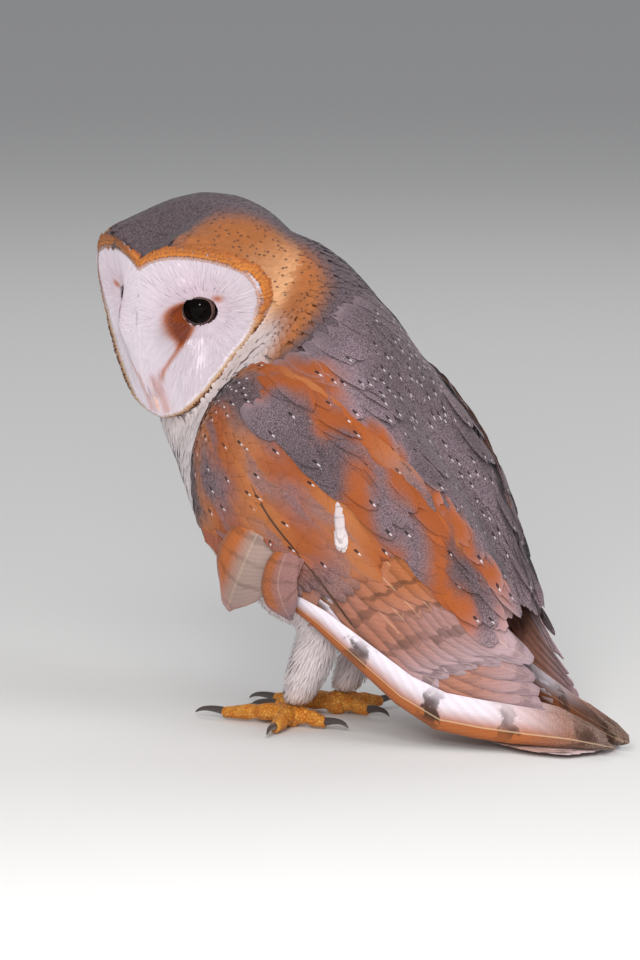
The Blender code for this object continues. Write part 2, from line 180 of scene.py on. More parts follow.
# the folded wing, in rows of lower edge, upper edge, thickness and swell
wingRows = (
    (40, -40, 152, 39, -30, 164, 7, 1),
    (50, -41, 126, 45, -6, 181, 14, 4),
    (56, -32, 99, 49, 22, 178, 15, 5),
    (57, -9, 78, 46, 49, 161, 14, 6),
    (53, 24, 59, 38, 74, 138, 12, 6),
    (46, 57, 34, 26, 94, 112, 9, 5),
    (40, 88, 13, 15, 110, 85, 7, 4),
    (31, 119, 8, 9, 126, 57, 4.6, 2.5),
    (19, 149, 6, 7, 151, 28, 3.6, 1),
    (9, 177, 4.2, 7.5, 177, 7.2, 2.6, 0),
)
wingLength = 255


def wingChord(s):
    row = curveThrough(wingRows, s)
    return np.linalg.norm(row[..., 3:6] - row[..., 0:3], axis=-1)


def wingPoint(side, s, rise, height=0.0):
    # the share s of the wing's length, millimetres up from its lower edge, and height over it
    row = curveThrough(wingRows, s)
    low, high, thick, swell = row[..., 0:3], row[..., 3:6], row[..., 6], row[..., 7]
    t = rise / np.maximum(np.linalg.norm(high - low, axis=-1), 12)
    inside = np.clip(4 * t * (1 - t), 0, 1)
    out = swell * inside + thick / 2 * np.sqrt(inside) + height
    point = blend(low, high, t) + out[..., None] * np.array((1, 0, 0.25))
    return point * (side, 1, 1)


def wingLine(side, rootS, tipS, rootT, tipT, rows, layer=0.0):
    # the middle lines of feathers between shares of the wing's length and breadth, and the way it faces there
    v = np.linspace(0, 1, rows)
    rise, tipRise = rootT * wingChord(rootS), tipT * wingChord(tipS)
    s = rootS[:, None] + (tipS - rootS)[:, None] * v
    rise = rise[:, None] + (tipRise - rise)[:, None] * v
    layer = np.broadcast_to(np.asarray(layer, float), rootS.shape)[:, None] + 0 * v
    step = 0.004
    alongWing = wingPoint(side, s + step, rise, layer) - wingPoint(side, s - step, rise, layer)
    acrossWing = wingPoint(side, s, rise + 1.5, layer) - wingPoint(side, s, rise - 1.5, layer)
    return wingPoint(side, s, rise, layer), unit(np.cross(alongWing, acrossWing)) * side


# surfaces


def meshPiece(name, points, faces):
    mesh = bpy.data.meshes.new(name)
    points = home + mm * points.reshape(-1, 3)
    mesh.vertices.add(len(points))
    mesh.vertices.foreach_set("co", points.astype(np.float32).ravel())
    mesh.loops.add(faces.size)
    mesh.loops.foreach_set("vertex_index", faces.astype(np.int32).ravel())
    mesh.polygons.add(len(faces))
    mesh.polygons.foreach_set("loop_start", np.arange(0, faces.size, faces.shape[1], dtype=np.int32))
    mesh.update(calc_edges=True)
    mesh.shade_smooth()
    made = bpy.data.objects.new(name, mesh)
    bpy.context.scene.collection.objects.link(made)
    return made


def placePiece(made, material, stands=()):
    made.data.materials.append(material)
    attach(made, "root")
    if stands:
        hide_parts(*stands)


def gridFaces(count, rows, columns, closed=False):
    r, c = np.meshgrid(np.arange(rows - 1), np.arange(columns if closed else columns - 1), indexing="ij")
    a, b = r * columns + c, r * columns + (c + 1) % columns
    quads = np.stack((a, b, b + columns, a + columns), -1).reshape(1, -1, 4)
    return (quads + (np.arange(count) * rows * columns)[:, None, None]).reshape(-1, 4)


def giveColours(made, name, values):
    if values.shape[-1] == 3:
        values = np.concatenate((values, np.ones((len(values), 1))), -1)
    layer = made.data.attributes.new(name, "FLOAT_COLOR", "POINT")
    layer.data.foreach_set("color", np.ascontiguousarray(values, np.float32).ravel())


def giveVectors(made, name, values):
    layer = made.data.attributes.new(name, "FLOAT_VECTOR", "POINT")
    layer.data.foreach_set("vector", np.ascontiguousarray(values, np.float32).ravel())


def grown(nodeNames, swell, voxel, smoothing):
    # one closed surface round several solids, in millimetres from home
    built = bmesh.new()
    for name in nodeNames:
        part = bmesh.new()
        part.from_mesh(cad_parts[name].data)
        part.transform(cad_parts[name].matrix_world)
        part.normal_update()
        for vertex in part.verts:
            vertex.co += vertex.normal * swell * mm
        loose = bpy.data.meshes.new("loose")
        part.to_mesh(loose)
        built.from_mesh(loose)
        part.free()
    mesh = bpy.data.meshes.new("grown")
    built.to_mesh(mesh)
    built.free()
    holder = bpy.data.objects.new("grown", mesh)
    bpy.context.scene.collection.objects.link(holder)
    remesh = holder.modifiers.new("remesh", "REMESH")
    remesh.mode = "VOXEL"
    remesh.voxel_size = voxel * mm
    bpy.context.view_layer.update()
    graph = bpy.context.evaluated_depsgraph_get()
    done = bpy.data.meshes.new_from_object(holder.evaluated_get(graph))
    bpy.data.objects.remove(holder)
    points = np.empty(len(done.vertices) * 3)
    done.vertices.foreach_get("co", points)
    points = (points.reshape(-1, 3) - home) / mm
    faces = np.empty(len(done.loops), int)
    done.loops.foreach_get("vertex_index", faces)
    faces = faces.reshape(-1, 4)
    for _ in range(smoothing):
        points = points * 0.4 + 0.6 * meanOfNeighbours(points, faces)
    return points, faces


def meanOfNeighbours(values, faces):
    total, count = np.zeros_like(values), np.zeros(len(values))
    for k in range(4):
        here, there = faces[:, k], faces[:, (k + 1) % 4]
        for a, b in ((here, there), (there, here)):
            count += np.bincount(a, minlength=len(values))
            for column in range(values.shape[1]):
                total[:, column] += np.bincount(a, values[b, column], len(values))
    return total / np.maximum(count, 1)[:, None]


def normalsOf(points, faces):
    a, b, c, d = (points[faces[:, k]] for k in range(4))
    across = np.cross(c - a, d - b)
    normal = np.zeros_like(points)
    for k in range(4):
        for axis in range(3):
            normal[:, axis] += np.bincount(faces[:, k], across[:, axis], len(points))
    return unit(normal)


def spread(spots, space):
    # the numbers of the spots that keep their space from every earlier one
    cell = float(space.max())
    keys = np.floor(spots / cell).astype(int)
    steps = [(x, y, z) for x in (-1, 0, 1) for y in (-1, 0, 1) for z in (-1, 0, 1)]
    taken, kept = {}, []
    for i, ((a, b, c), spot, gap) in enumerate(zip(keys.tolist(), spots.tolist(), space.tolist())):
        near = (other for x, y, z in steps for other in taken.get((a + x, b + y, c + z), ()))
        if all(math.dist(spot, other) >= gap for other in near):
            taken.setdefault((a, b, c), []).append(spot)
            kept.append(i)
    return np.array(kept)


def ownerOf(points, names):
    # the number of the solid nearest to each point
    reach = []
    for name in names:
        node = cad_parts[name]
        verts = [((node.matrix_world @ v.co) - Vector(home)) / mm for v in node.data.vertices]
        tree = BVHTree.FromPolygons(verts, [tuple(p.vertices) for p in node.data.polygons])
        reach.append([tree.find_nearest(Vector(point))[3] for point in points.tolist()])
    return np.argmin(np.array(reach), axis=0)


class Surface:
    # points and quads, the way they face, which solid each point belongs to, and a search tree
    def __init__(self, points, faces, names=()):
        self.points, self.faces, self.names = points, faces, names
        self.normals = normalsOf(points, faces)
        self.owner = ownerOf(points, names) if names else None
        self.tree = BVHTree.FromPolygons(points.tolist(), faces.tolist())

    def facesOf(self, *names):
        wanted = np.isin(self.owner, [self.names.index(name) for name in names])
        return wanted[self.faces].sum(1) >= 3

    def nearest(self, points):
        found = [self.tree.find_nearest(Vector(point)) for point in points.tolist()]
        where = np.array([tuple(hit[0]) for hit in found])
        face = np.array([hit[2] for hit in found])
        corners = self.faces[face]
        reach = np.linalg.norm(self.points[corners] - where[:, None], axis=2)
        weight = 1 / np.maximum(reach, 0.05)
        normal = unit((self.normals[corners] * weight[..., None]).sum(1))
        return where, normal, face

    def scatter(self, spacing, allowed):
        # points no nearer to each other than the spacing, which may vary from place to place
        a, b, c, d = (self.points[self.faces[:, k]] for k in range(4))
        area = np.linalg.norm(np.cross(c - a, d - b), axis=1) / 2
        space = spacing(a)
        chance = np.where(allowed, area / space**2, 0)
        count = int(chance.sum() * 4)
        pick = rng.choice(len(area), count, p=chance / chance.sum())
        x, y = rng.random((2, count, 1))
        spots = blend(blend(a[pick], b[pick], x[:, 0]), blend(d[pick], c[pick], x[:, 0]), y[:, 0])
        return spots[spread(spots, space[pick])]


fleshNodes = ["head", "neck", "trunk", "wing_left", "wing_right", "thigh_left", "thigh_right"]
fleshNodes += ["shank_left", "shank_right"]
bladeNodes = ["flight_left", "flight_right", "tail", "alula_left", "alula_right"]

guideShape = {"swell": 0.7, "voxel": 2.6, "smoothing": 3}
guide = Surface(*grown(fleshNodes + bladeNodes, **guideShape), fleshNodes + bladeNodes)
print("guide", len(guide.points))


# markings, shared by the skin and the coat

# the body's middle line and its back, for telling back from breast
bodyRows = np.array(
    (
        (-61, 228, -96, 160),
        (-36, 236, -93, 138),
        (-7, 225, -84, 123),
        (25, 203.5, -68, 108),
        (48.5, 176.5, -54, 86),
        (64, 144, -37, 67),
        (77, 112, -12, 55),
        (87, 84, 20, 46),
        (94, 60, 52, 36),
        (98, 46, 76, 28),
    ),
    float,
)
bodyAxis = np.array((0, 0.68, -0.73))


def bodyPlace(points):
    middle = (bodyRows[:, 0:2] + bodyRows[:, 2:4]) / 2
    back = (bodyRows[:, 0:2] - bodyRows[:, 2:4]) / 2
    far = points @ bodyAxis
    at = [np.interp(far, middle @ bodyAxis[1:], column) for column in (*middle.T, *back.T)]
    dy, dz = points[..., 1] - at[0], points[..., 2] - at[1]
    return far, (dy * at[2] + dz * at[3]) / (at[2] ** 2 + at[3] ** 2)


def headShare(points):
    place = inHead(points)
    return ease(64, 50, np.linalg.norm((place - (3, -38, 2)) / (1, 1, 1.05), axis=-1))


def goldShare(points):
    # the warm cap on either side of the head, out from the disc as far as the nape
    place = inHead(points)
    place[..., 0] = np.abs(place[..., 0])
    return ease(53, 38, np.linalg.norm(place - (40, -22, 12), axis=-1))


def cheekShare(points):
    # the white cheek between the lower half of the disc and the shoulder
    side, ahead, up = np.moveaxis(inHead(points), -1, 0)
    return ease(13, -3, up + 0.28 * (-ahead - 22)) * ease(78, 58, np.abs(side)) * ease(-75, -45, ahead)


def marksOf(veil, drops, flecks, bars=0):
    # how far a feather is veiled in grey, and how often feathers carry drops, flecks and bars
    return np.stack(np.broadcast_arrays(veil, drops, flecks, bars), -1)


def headTone(points):
    side, ahead, up = np.moveaxis(inHead(points), -1, 0)
    reach = np.abs(side + 5) - 0.14 * np.maximum(-ahead - 25, 0)
    crown = ease(25, 17, reach) * ease(14, 30, up)
    warm = goldShare(points) * (1 - crown)
    pale = cheekShare(points)
    behind = ease(-42, -60, ahead)
    nape = np.maximum(ease(-10, 12, up), behind)
    ground = blend(blend(gold, umber, 0.18), peach, ease(42, 14, up) * ease(-84, -50, ahead))
    tone = blend(blend(white, blend(lilac, slate, 0.6), nape), ground, warm)
    tone = blend(tone, blend(white, peach, 0.12), np.maximum(pale * 0.95, ease(-14, -32, up) * (1 - behind)))
    tone = blend(tone, blend(lilac, slate, 0.8), crown)
    grey = np.maximum(crown, nape * (1 - warm) * (1 - pale))
    return tone, marksOf(grey, 0, 0.05 + 0.3 * warm * (1 - 0.6 * pale) + 0.4 * crown)


def edgeDistance(points):
    # how far a point is from the upper edge of the folded wing, and how far along the wing that is
    along = np.linspace(0, 0.9, 120)
    nearest, share = np.full(len(points), 1e9), np.zeros(len(points))
    for side in (1, -1):
        line = wingPoint(side, along, wingChord(along))
        away = np.linalg.norm(points[:, None] - line[None], axis=2)
        closer = away.min(1) < nearest
        nearest = np.where(closer, away.min(1), nearest)
        share = np.where(closer, along[away.argmin(1)], share)
    return nearest, share


def bodyTone(points):
    far, dorsal = bodyPlace(points)
    fromWing, along = (values.reshape(far.shape) for values in edgeDistance(points.reshape(-1, 3)))
    back = ease(0.2, 0.5, dorsal)
    warm = goldShare(points)
    mantle = blend(lilac, slate, 0.6 + 0.15 * np.sin(points[..., 2] * 0.12 + points[..., 0] * 0.1))
    tone = blend(blend(white, cream, 0.25 * ease(-110, -40, far)), mantle, back)
    tone = blend(tone, gold, warm * ease(-0.1, 0.5, dorsal))
    tone = blend(tone, white, 0.9 * cheekShare(points))
    band = ease(9, 3, fromWing) * ease(0.0, 0.06, along) * ease(0.5, 0.3, along) * back
    tone = blend(tone, deepGold, band)
    grey = back * (1 - warm) * (1 - 0.8 * band) * (1 - cheekShare(points))
    return tone, marksOf(grey, 0.42 * back * ease(-142, -130, far) * (1 - warm), 0.06 + 0.3 * warm)


def faceTone(side, up):
    # pinkish white, with a rusty patch before each eye that runs down towards the bill
    reach = np.abs(side)
    t = np.clip((14 - up) / 38, 0, 1)
    middle = 17.0 - 9.8 * ease(0.42, 1, t)
    width = 2.9 - 1.7 * ease(0.25, 0.6, t)
    stain = hump(reach, middle, width) * ease(17, 11, up) * ease(-26, -20, up)
    stain = stain * (1.3 - 0.9 * ease(0.34, 0.60, t))
    corner = 0.5 * np.exp(-((reach - 31.4) ** 2) / 9 - (up - 15.3) ** 2 / 4)
    cere = 0.5 * hump(reach, 4.5, 2.4) * ease(-17, -23, up)
    tone = blend(palest, paint(216, 190, 202), 0.6 * np.exp(-(((reach - 26) ** 2 + (up - 14) ** 2) / 240)))
    tone = blend(tone, paint(204, 128, 104), cere)
    tone = blend(tone, paint(190, 104, 54), np.clip(2.2 * np.maximum(stain, corner) - 0.1, 0, 1))
    return blend(tone, rust, np.clip(2.2 * stain - 0.9, 0, 1))


def isFace(points):
    side, ahead, up = np.moveaxis(inHead(points), -1, 0)
    angle, radius = around(side, up)
    return (radius < discEdge(angle) + ruffWidth(angle) - 1.2) & (ahead > faceDepth(side, up) - 3.4)


def legTone(points):
    tone = blend(white, blend(cream, peach, 0.5), 0.6 * ease(26, 10, points[..., 2]))
    return tone, np.zeros((*points.shape[:-1], 4)) + (0, 0, 0.02, 0)


def wingMarks(s, t, rim=0.0):
    # warm ground with slate and lilac streaks along the wing; drops where it is greyest
    t = t + 0.018 * np.sin(s * 61 + 2) + 0.012 * np.sin(t * 71 + s * 23)
    s = s + 0.010 * np.sin(t * 47)
    front = hump(t, 0.02, 0.15) * ease(0.28, 0.18, s)
    upper = hump(t, 0.74 + 0.06 * s, 0.155) * ease(0.36, 0.22, s) * ease(-0.02, 0.04, s)
    lower = 0.95 * hump(t, 0.27, 0.10) * hump(s, 0.21, 0.075)
    trail = 0.8 * hump(t, 0.96, 0.13) * hump(s, 0.52, 0.07)
    middle = 0.6 * hump(t, 0.50, 0.07) * hump(s, 0.36, 0.06)
    streak = 0.5 * ease(0.0, 1.0, np.sin(t * 31 + s * 7) * np.sin(s * 19 + t * 9 + 1))
    outer = 0.55 * ease(0.54, 0.36, t) * ease(0.40, 0.48, s)
    grey = np.clip(np.max((front, upper, lower, trail, middle, streak, outer), axis=0), 0, 1)
    # rim sets how grey the front of the upper edge becomes: the left wing keeps its warm edge, while on the
    # right, far wing this grey is painted shade
    grey = grey + (rim - grey) * 0.95 * ease(0.89, 0.95, t) * ease(0.36, 0.24, s)
    dark = np.maximum(front, 0.8 * upper * ease(0.36, 0.2, s))
    warm = blend(deepGold, gold, 0.5 + 0.5 * np.sin(s * 29 + t * 13))
    tone = blend(warm, blend(lilac, slate, dark), 0.9 * ease(-0.05, 0.95, grey))
    drops = np.clip(0.2 + 0.28 * upper + 0.3 * lower + 0.4 * trail, 0, 1) * (1 - front)
    return tone, marksOf(0.08 + 0.9 * ease(0.1, 1, grey), drops, 0)


def wingTone(points):
    # the place on the wing nearest to a point
    s, t = np.meshgrid(np.linspace(0, 1, 60), np.linspace(0, 1, 16), indexing="ij")
    spots = np.concatenate([wingPoint(side, s, t * wingChord(s)).reshape(-1, 3) for side in (1, -1)])
    found = [np.argmin(((spots - point) ** 2).sum(1)) for point in points.reshape(-1, 3)]
    found = np.array(found, int).reshape(points.shape[:-1]) % s.size
    return wingMarks(s.ravel()[found], t.ravel()[found])


def bodyThroughHead(points):
    # body markings that change into those of the head
    ofBody, ofHead, share = bodyTone(points), headTone(points), headShare(points)
    return blend(ofBody[0], ofHead[0], share), blend(ofBody[1], ofHead[1], share)


def skinTone(surface):
    points, owner = surface.points, surface.owner
    tone, marks = bodyThroughHead(points)
    face = isFace(points) & (owner == surface.names.index("head"))
    place = inHead(points)
    tone[face] = faceTone(place[face, 0], place[face, 2])
    marks[face] = 0
    for part, rule in (("wing", wingTone), ("thigh", legTone), ("shank", legTone)):
        for name in ("_left", "_right"):
            mine = owner == surface.names.index(part + name)
            tone[mine], marks[mine] = rule(points[mine])
    return tone, marks


# materials


class Wire:
    # a socket that sums can be written with
    def __init__(self, tree, socket):
        self.tree, self.socket = tree, socket

    def node(self, kind, settings=None, links=None, output=0):
        made = self.tree.nodes.new(kind)
        for key, value in (settings or {}).items():
            setattr(made, key, value)
        for key, value in (links or {}).items():
            if isinstance(value, Wire):
                self.tree.links.new(value.socket, made.inputs[key])
            else:
                made.inputs[key].default_value = value
        return Wire(self.tree, made.outputs[output])

    def parts(self, kind):
        # the numbers that a vector or a colour holds
        made = self.node("ShaderNodeSeparate" + kind, {}, {0: self}).socket.node
        return [Wire(self.tree, output) for output in made.outputs]

    def given(self, name, output=0):
        return self.node("ShaderNodeAttribute", {"attribute_name": name}, output=output)

    def place(self):
        return self.node("ShaderNodeTexCoord", output=3)

    def sum(self, operation, *values):
        return self.node("ShaderNodeMath", {"operation": operation}, dict(enumerate(values)))

    def __add__(self, other):
        return self.sum("ADD", self, other)

    def __radd__(self, other):
        return self.sum("ADD", other, self)

    def __sub__(self, other):
        return self.sum("SUBTRACT", self, other)

    def __rsub__(self, other):
        return self.sum("SUBTRACT", other, self)

    def __mul__(self, other):
        return self.sum("MULTIPLY", self, other)

    def __rmul__(self, other):
        return self.sum("MULTIPLY", other, self)

    def __abs__(self):
        return self.sum("ABSOLUTE", self)

    def sine(self):
        return self.sum("SINE", self)

    def between(self, low, high):
        ends = {"From Min": low, "From Max": high, "Value": self}
        return self.node("ShaderNodeMapRange", {"interpolation_type": "SMOOTHSTEP"}, ends)

    def mixed(self, a, b):
        return self.node("ShaderNodeMix", {"data_type": "RGBA"}, {0: self, 6: a, 7: b}, 2)

    def noise(self, scale, detail=2.0):
        return self.node("ShaderNodeTexNoise", {}, {"Vector": self, "Scale": scale, "Detail": detail})

    def bump(self, strength, distance):
        links = {"Height": self, "Strength": strength, "Distance": distance * mm}
        return self.node("ShaderNodeBump", {}, links)


def newMaterial(name, constants):
    made = bpy.data.materials.new(name)
    made.use_nodes = True
    shader = made.node_tree.nodes["Principled BSDF"]
    for key, value in constants.items():
        shader.inputs[key].default_value = value
    return made, Wire(made.node_tree, None)


def feed(material, colour, normal=None):
    tree = material.node_tree
    shader = tree.nodes["Principled BSDF"]
    tree.links.new(colour.socket, shader.inputs["Base Color"])
    if normal:
        tree.links.new(normal.socket, shader.inputs["Normal"])


plumageLook = {
    "shine": {"Roughness": 0.75, "Sheen Weight": 0.1, "Specular IOR Level": 0.2}, "fineLines": 1500,
    "darkLine": rgba(66, 56, 60), "paleLine": rgba(134, 116, 124), "barsAlong": 27.0,
    "blackDrop": rgba(40, 32, 36), "whiteDrop": rgba(208, 198, 202), "fleck": rgba(66, 48, 44),
    "barbsAlong": 130.0, "barb": rgba(60, 46, 42), "shaft": rgba(226, 196, 160),
}


def plumageMaterial(look):
    made, start = newMaterial("plumage", look["shine"])
    tone, mark = start.given("tone"), start.given("mark")
    bars = start.given("mark", 3)
    u, v, chance = start.given("vane", 1).parts("XYZ")
    veil, drop, fleck = mark.parts("Color")
    place = start.place()
    fine, broad = place.noise(look["fineLines"], 3.0), place.noise(260)
    # a grey veil of fine wavy lines over the outer half of the feather
    paleLine = start.node("ShaderNodeMix", {"data_type": "RGBA"}, {0: 0.55, 6: tone, 7: look["paleLine"]}, 2)
    lines = fine.between(0.38, 0.64).mixed(look["darkLine"], paleLine)
    colour = ((v + broad * 0.4).between(0.25, 0.65) * veil * 0.85).mixed(tone, lines)
    # dark bars across, ragged at their edges
    wave = (v * look["barsAlong"] + broad * 2.2 + fine * 0.8).sine()
    patchy = place.noise(90, 1.0).between(0.35, 0.6) * 0.5 + 0.5
    colour = (wave.between(0.62, 0.9) * bars * patchy).mixed(colour, (*umber, 1))
    # black then white drops on the shaft of some feathers, their size in millimetres
    aside, fromTip = start.given("span", 1).parts("XYZ")[:2]
    chosen = (drop - chance).between(0.0, 0.02)
    black = (aside * aside * 1.5 + (fromTip - 4.3) * (fromTip - 4.3) * 0.34 + fine * 0.6).between(1.25, 0.75)
    pale = (aside * aside * 5.0 + (fromTip - 2.3) * (fromTip - 2.3) * 0.9).between(0.95, 0.5)
    colour = (black * chosen * 0.9).mixed(colour, look["blackDrop"])
    colour = (pale * chosen * 0.9).mixed(colour, look["whiteDrop"])
    # a small dark fleck near the tip of others
    speck = (aside * aside + (fromTip - 1.1) * (fromTip - 1.1) * 0.4).between(0.42, 0.22)
    colour = (speck * (fleck - chance).between(0.0, 0.02) * 0.75).mixed(colour, look["fleck"])
    # barbs and shaft
    barb = (v * look["barbsAlong"] + abs(u) * 16.0 + fine * 4.0).sine() * 0.5 + 0.5
    shaft = abs(u).between(0.06, 0.02)
    colour = (barb * 0.10).mixed(colour, look["barb"])
    colour = (shaft * bars * 0.45).mixed(colour, look["shaft"])
    feed(made, colour=colour, normal=(barb * 0.6 + shaft).bump(0.3, 0.2))
    return made


faceLook = {
    "shine": {"Roughness": 0.75, "Sheen Weight": 0.15, "Specular IOR Level": 0.08},
    "shade": rgba(190, 160, 170), "shadeShare": 0.14,
}


def faceMaterial(look):
    # hairlike feathers, each a little paler or darker
    made, start = newMaterial("faceFeathers", look["shine"])
    chance = start.given("vane", 1).parts("XYZ")[2]
    feed(made, colour=(chance * look["shadeShare"]).mixed(start.given("tone"), look["shade"]))
    return made


skinLook = {"shine": {"Roughness": 0.8}, "fineLines": 900, "grey": rgba(94, 80, 86), "greyShare": 0.7}


def skinMaterial(look):
    made, start = newMaterial("skin", look["shine"])
    veil = start.given("mark").parts("Color")[0]
    fine = start.place().noise(look["fineLines"], 3.0)
    share = veil * fine.between(0.35, 0.65) * look["greyShare"]
    feed(made, colour=share.mixed(start.given("tone"), look["grey"]), normal=fine.bump(0.4, 0.4))
    return made


plumage = plumageMaterial(plumageLook)
faceFeathers = faceMaterial(faceLook)


# skin

skinShape = {
    "grown": {"swell": 0.6, "voxel": 1.8, "smoothing": 4},
    "depth": {"head": 1.0, "neck": 1.5, "trunk": 1.8, "wing": 2.0, "thigh": 2.2, "shank": 2.0},
    "faceDepth": 0.5, "eyeDepth": 2.6, "under": 0.6,
}
flesh = Surface(*grown(fleshNodes, **skinShape["grown"]), fleshNodes)
print("skin", len(flesh.points))


def skinDepth(surface):
    # how far the skin lies under the coat, deeper round the eyes
    depth = np.array([skinShape["depth"][name.split("_")[0]] for name in surface.names])[surface.owner]
    place = inHead(surface.points)
    nearEye = ease(13, 9.5, np.hypot(np.abs(place[:, 0]) - eyes["side"], place[:, 2] - eyes["openUp"]))
    onFaceDepth = skinShape["faceDepth"] + skinShape["eyeDepth"] * nearEye
    depth = np.where(isFace(surface.points), onFaceDepth, depth) + skinShape["under"]
    for _ in range(6):
        depth = 0.5 * depth + 0.5 * meanOfNeighbours(depth[:, None], surface.faces)[:, 0]
    return depth[:, None]


def unwrapped(made):
    # the skin's own map, whose coordinates the feathers share
    bpy.context.view_layer.objects.active = made
    made.select_set(True)
    made.data.uv_layers.new(name="OFBake")
    bpy.ops.object.mode_set(mode="EDIT")
    bpy.ops.mesh.select_all(action="SELECT")
    bpy.ops.uv.smart_project(angle_limit=math.radians(66), island_margin=0.004)
    bpy.ops.object.mode_set(mode="OBJECT")
    uv = np.empty(len(made.data.loops) * 2)
    made.data.uv_layers["OFBake"].uv.foreach_get("vector", uv)
    return uv.reshape(-1, 4, 2)


tone, marks = skinTone(flesh)
skin = Surface(flesh.points - flesh.normals * skinDepth(flesh), flesh.faces)
skinPiece = meshPiece("skin", skin.points, skin.faces)
giveColours(skinPiece, "tone", tone)
giveColours(skinPiece, "mark", marks)
skinUv = unwrapped(skinPiece)
placePiece(skinPiece, skinMaterial(skinLook), fleshNodes)
print("skin done")


def rootUv(roots):
    where, _, face = skin.nearest(roots)
    a, b, _, d = (skin.points[skin.faces[face, k]] for k in range(4))
    x = ((where - a) * (b - a)).sum(1) / np.maximum(((b - a) ** 2).sum(1), 1e-6)
    y = ((where - a) * (d - a)).sum(1) / np.maximum(((d - a) ** 2).sum(1), 1e-6)
    uv = skinUv[face]
    x, y = np.clip(x, 0, 1)[:, None], np.clip(y, 0, 1)[:, None]
    return uv[:, 0] + x * (uv[:, 1] - uv[:, 0]) + y * (uv[:, 3] - uv[:, 0])


# feathers

vaneShape = ((0.0, 0.35), (0.2, 0.8), (0.5, 1.0), (0.8, 0.95), (1.0, 0.6))
longShape = ((0.0, 0.3), (0.15, 0.7), (0.5, 1.0), (0.85, 0.92), (1.0, 0.5))
hairShape = ((0.0, 1.0), (0.6, 0.8), (1.0, 0.15))
curlShape = ((0, 0.55), (0.25, 0.9), (0.55, 1), (0.8, 0.9), (0.93, 0.7), (1, 0.42))
lowest = 0.35  # millimetres over the floor
bare = (0, 0, 0, 0)


def filled(values, channels, grid):
    # one value, one per feather, one per row or one per point, spread over a whole batch
    values = np.asarray(values, float)
    while 1 < values.ndim < 4:
        values = values[..., None, :]
    return np.broadcast_to(values, (*grid, channels))


def vanes(spine, normal, half, lift, tone, marks, columns=5, shape=vaneShape, camber=0.25, skew=0.0, hand=1,
          roundTip=0.6, ragged=0.03, loose=0.08, dip=0.0):
    # a batch of feathers: middle lines and facings (count, rows, 3), half widths, heights of root and tip;
    # camber rounds them across, skew widens a web, loose lifts some more than others, dip lowers their tips
    count, rows, _ = spine.shape
    v, u = np.linspace(0, 1, rows), np.linspace(-1, 1, columns)
    half = np.broadcast_to(np.asarray(half, float), (count,))
    tangent = unit(np.gradient(spine, axis=1))
    across = unit(np.cross(normal, tangent)) * hand
    width = half[:, None] * np.interp(v, *np.array(shape).T)
    low, high = (np.broadcast_to(np.asarray(end, float), (count,))[:, None] for end in lift)
    rise = low + (high - low) * v + rng.normal(0, loose, (count, 1)) - dip * ease(0.7, 1, v)
    spot = (u + skew * np.abs(u)) * width[..., None]
    height = rise[..., None] - camber * width[..., None] * u**2
    length = np.linalg.norm(np.diff(spine, axis=1), axis=2).sum(1)
    slip = -(u**2) * roundTip * half[:, None, None] * ease(0.35, 1, v)[:, None]
    slip = slip + rng.normal(0, ragged, (count, 1, columns)) * length[:, None, None] * v[:, None] ** 3
    points = spine[:, :, None] + across[:, :, None] * spot[..., None]
    points = points + normal[:, :, None] * height[..., None] + tangent[:, :, None] * slip[..., None]
    points[..., 2] = np.maximum(points[..., 2], lowest)
    grid = (count, rows, columns)
    tone = filled(tone, 3, grid) * (1 + rng.normal(0, 0.035, (count, 1, 1, 1)))
    chance = rng.random((count, 1, 1))
    return {
        "points": points, "facing": unit(normal[:, :, None] + 0.22 * u[:, None] * across[:, :, None]),
        "tone": tone, "marks": filled(marks, 4, grid),
        "vane": np.stack(np.broadcast_arrays(u[None, None], v[None, :, None], chance), -1),
        "span": np.stack(np.broadcast_arrays(spot, (length[:, None] * (1 - v))[..., None], chance), -1),
        "roots": spine[:, 1],
    }


def coat(name, batches, material, stands=(), thickness=0.0):
    # one piece of many feathers; each takes the skin's map at its root
    faces, uv, start = [], [], 0
    for batch in batches:
        count, rows, columns, _ = batch["points"].shape
        faces.append(gridFaces(count, rows, columns) + start)
        start += count * rows * columns
        patch = 0.003 * (batch["vane"][..., :2] * (0.5, 1) - (0, 0.5))
        uv.append((rootUv(batch["roots"])[:, None, None] + patch).reshape(-1, 2))
    faces = np.concatenate(faces)
    points, facings, tone, marks, vane, span = (
        np.concatenate([batch[key].reshape(-1, batch[key].shape[-1]) for batch in batches])
        for key in ("points", "facing", "tone", "marks", "vane", "span")
    )
    a, b, c, d = (points[faces[:, k]] for k in range(4))
    flipped = (np.cross(c - a, d - b) * facings[faces[:, 0]]).sum(1) < 0
    faces[flipped] = faces[flipped][:, ::-1]
    made = meshPiece(name, points, faces)
    giveColours(made, "tone", np.clip(tone, 0, 1))
    giveColours(made, "mark", marks)
    giveVectors(made, "vane", vane)
    giveVectors(made, "span", span)
    uv = np.clip(np.concatenate(uv), 0.0005, 0.9995)[faces.ravel()]
    made.data.uv_layers.new(name="OFBake")
    made.data.uv_layers["OFBake"].uv.foreach_set("vector", uv.astype(np.float32).ravel())
    if thickness:
        solid = made.modifiers.new("solid", "SOLIDIFY")
        solid.thickness = thickness * mm
        solid.offset = -1
    else:
        made.data.normals_split_custom_set_from_vertices(facings.tolist())
    placePiece(made, material, stands)
    print(name, len(faces) * 2)


def layOnGuide(roots, aims, lengths, steps):
    # walks each feather's middle line over the guide
    where, normal, _ = guide.nearest(roots)
    spine, facings = [where], [normal]
    for _ in range(steps):
        aims = unit(aims - normal * (aims * normal).sum(1, keepdims=True))
        ahead = where + aims * (lengths / steps)[:, None]
        found, normal, _ = guide.nearest(ahead)
        where = blend(ahead, found, 0.9)
        spine.append(where)
        facings.append(normal)
    return np.stack(spine, 1), np.stack(facings, 1)


# head, neck and body feathers


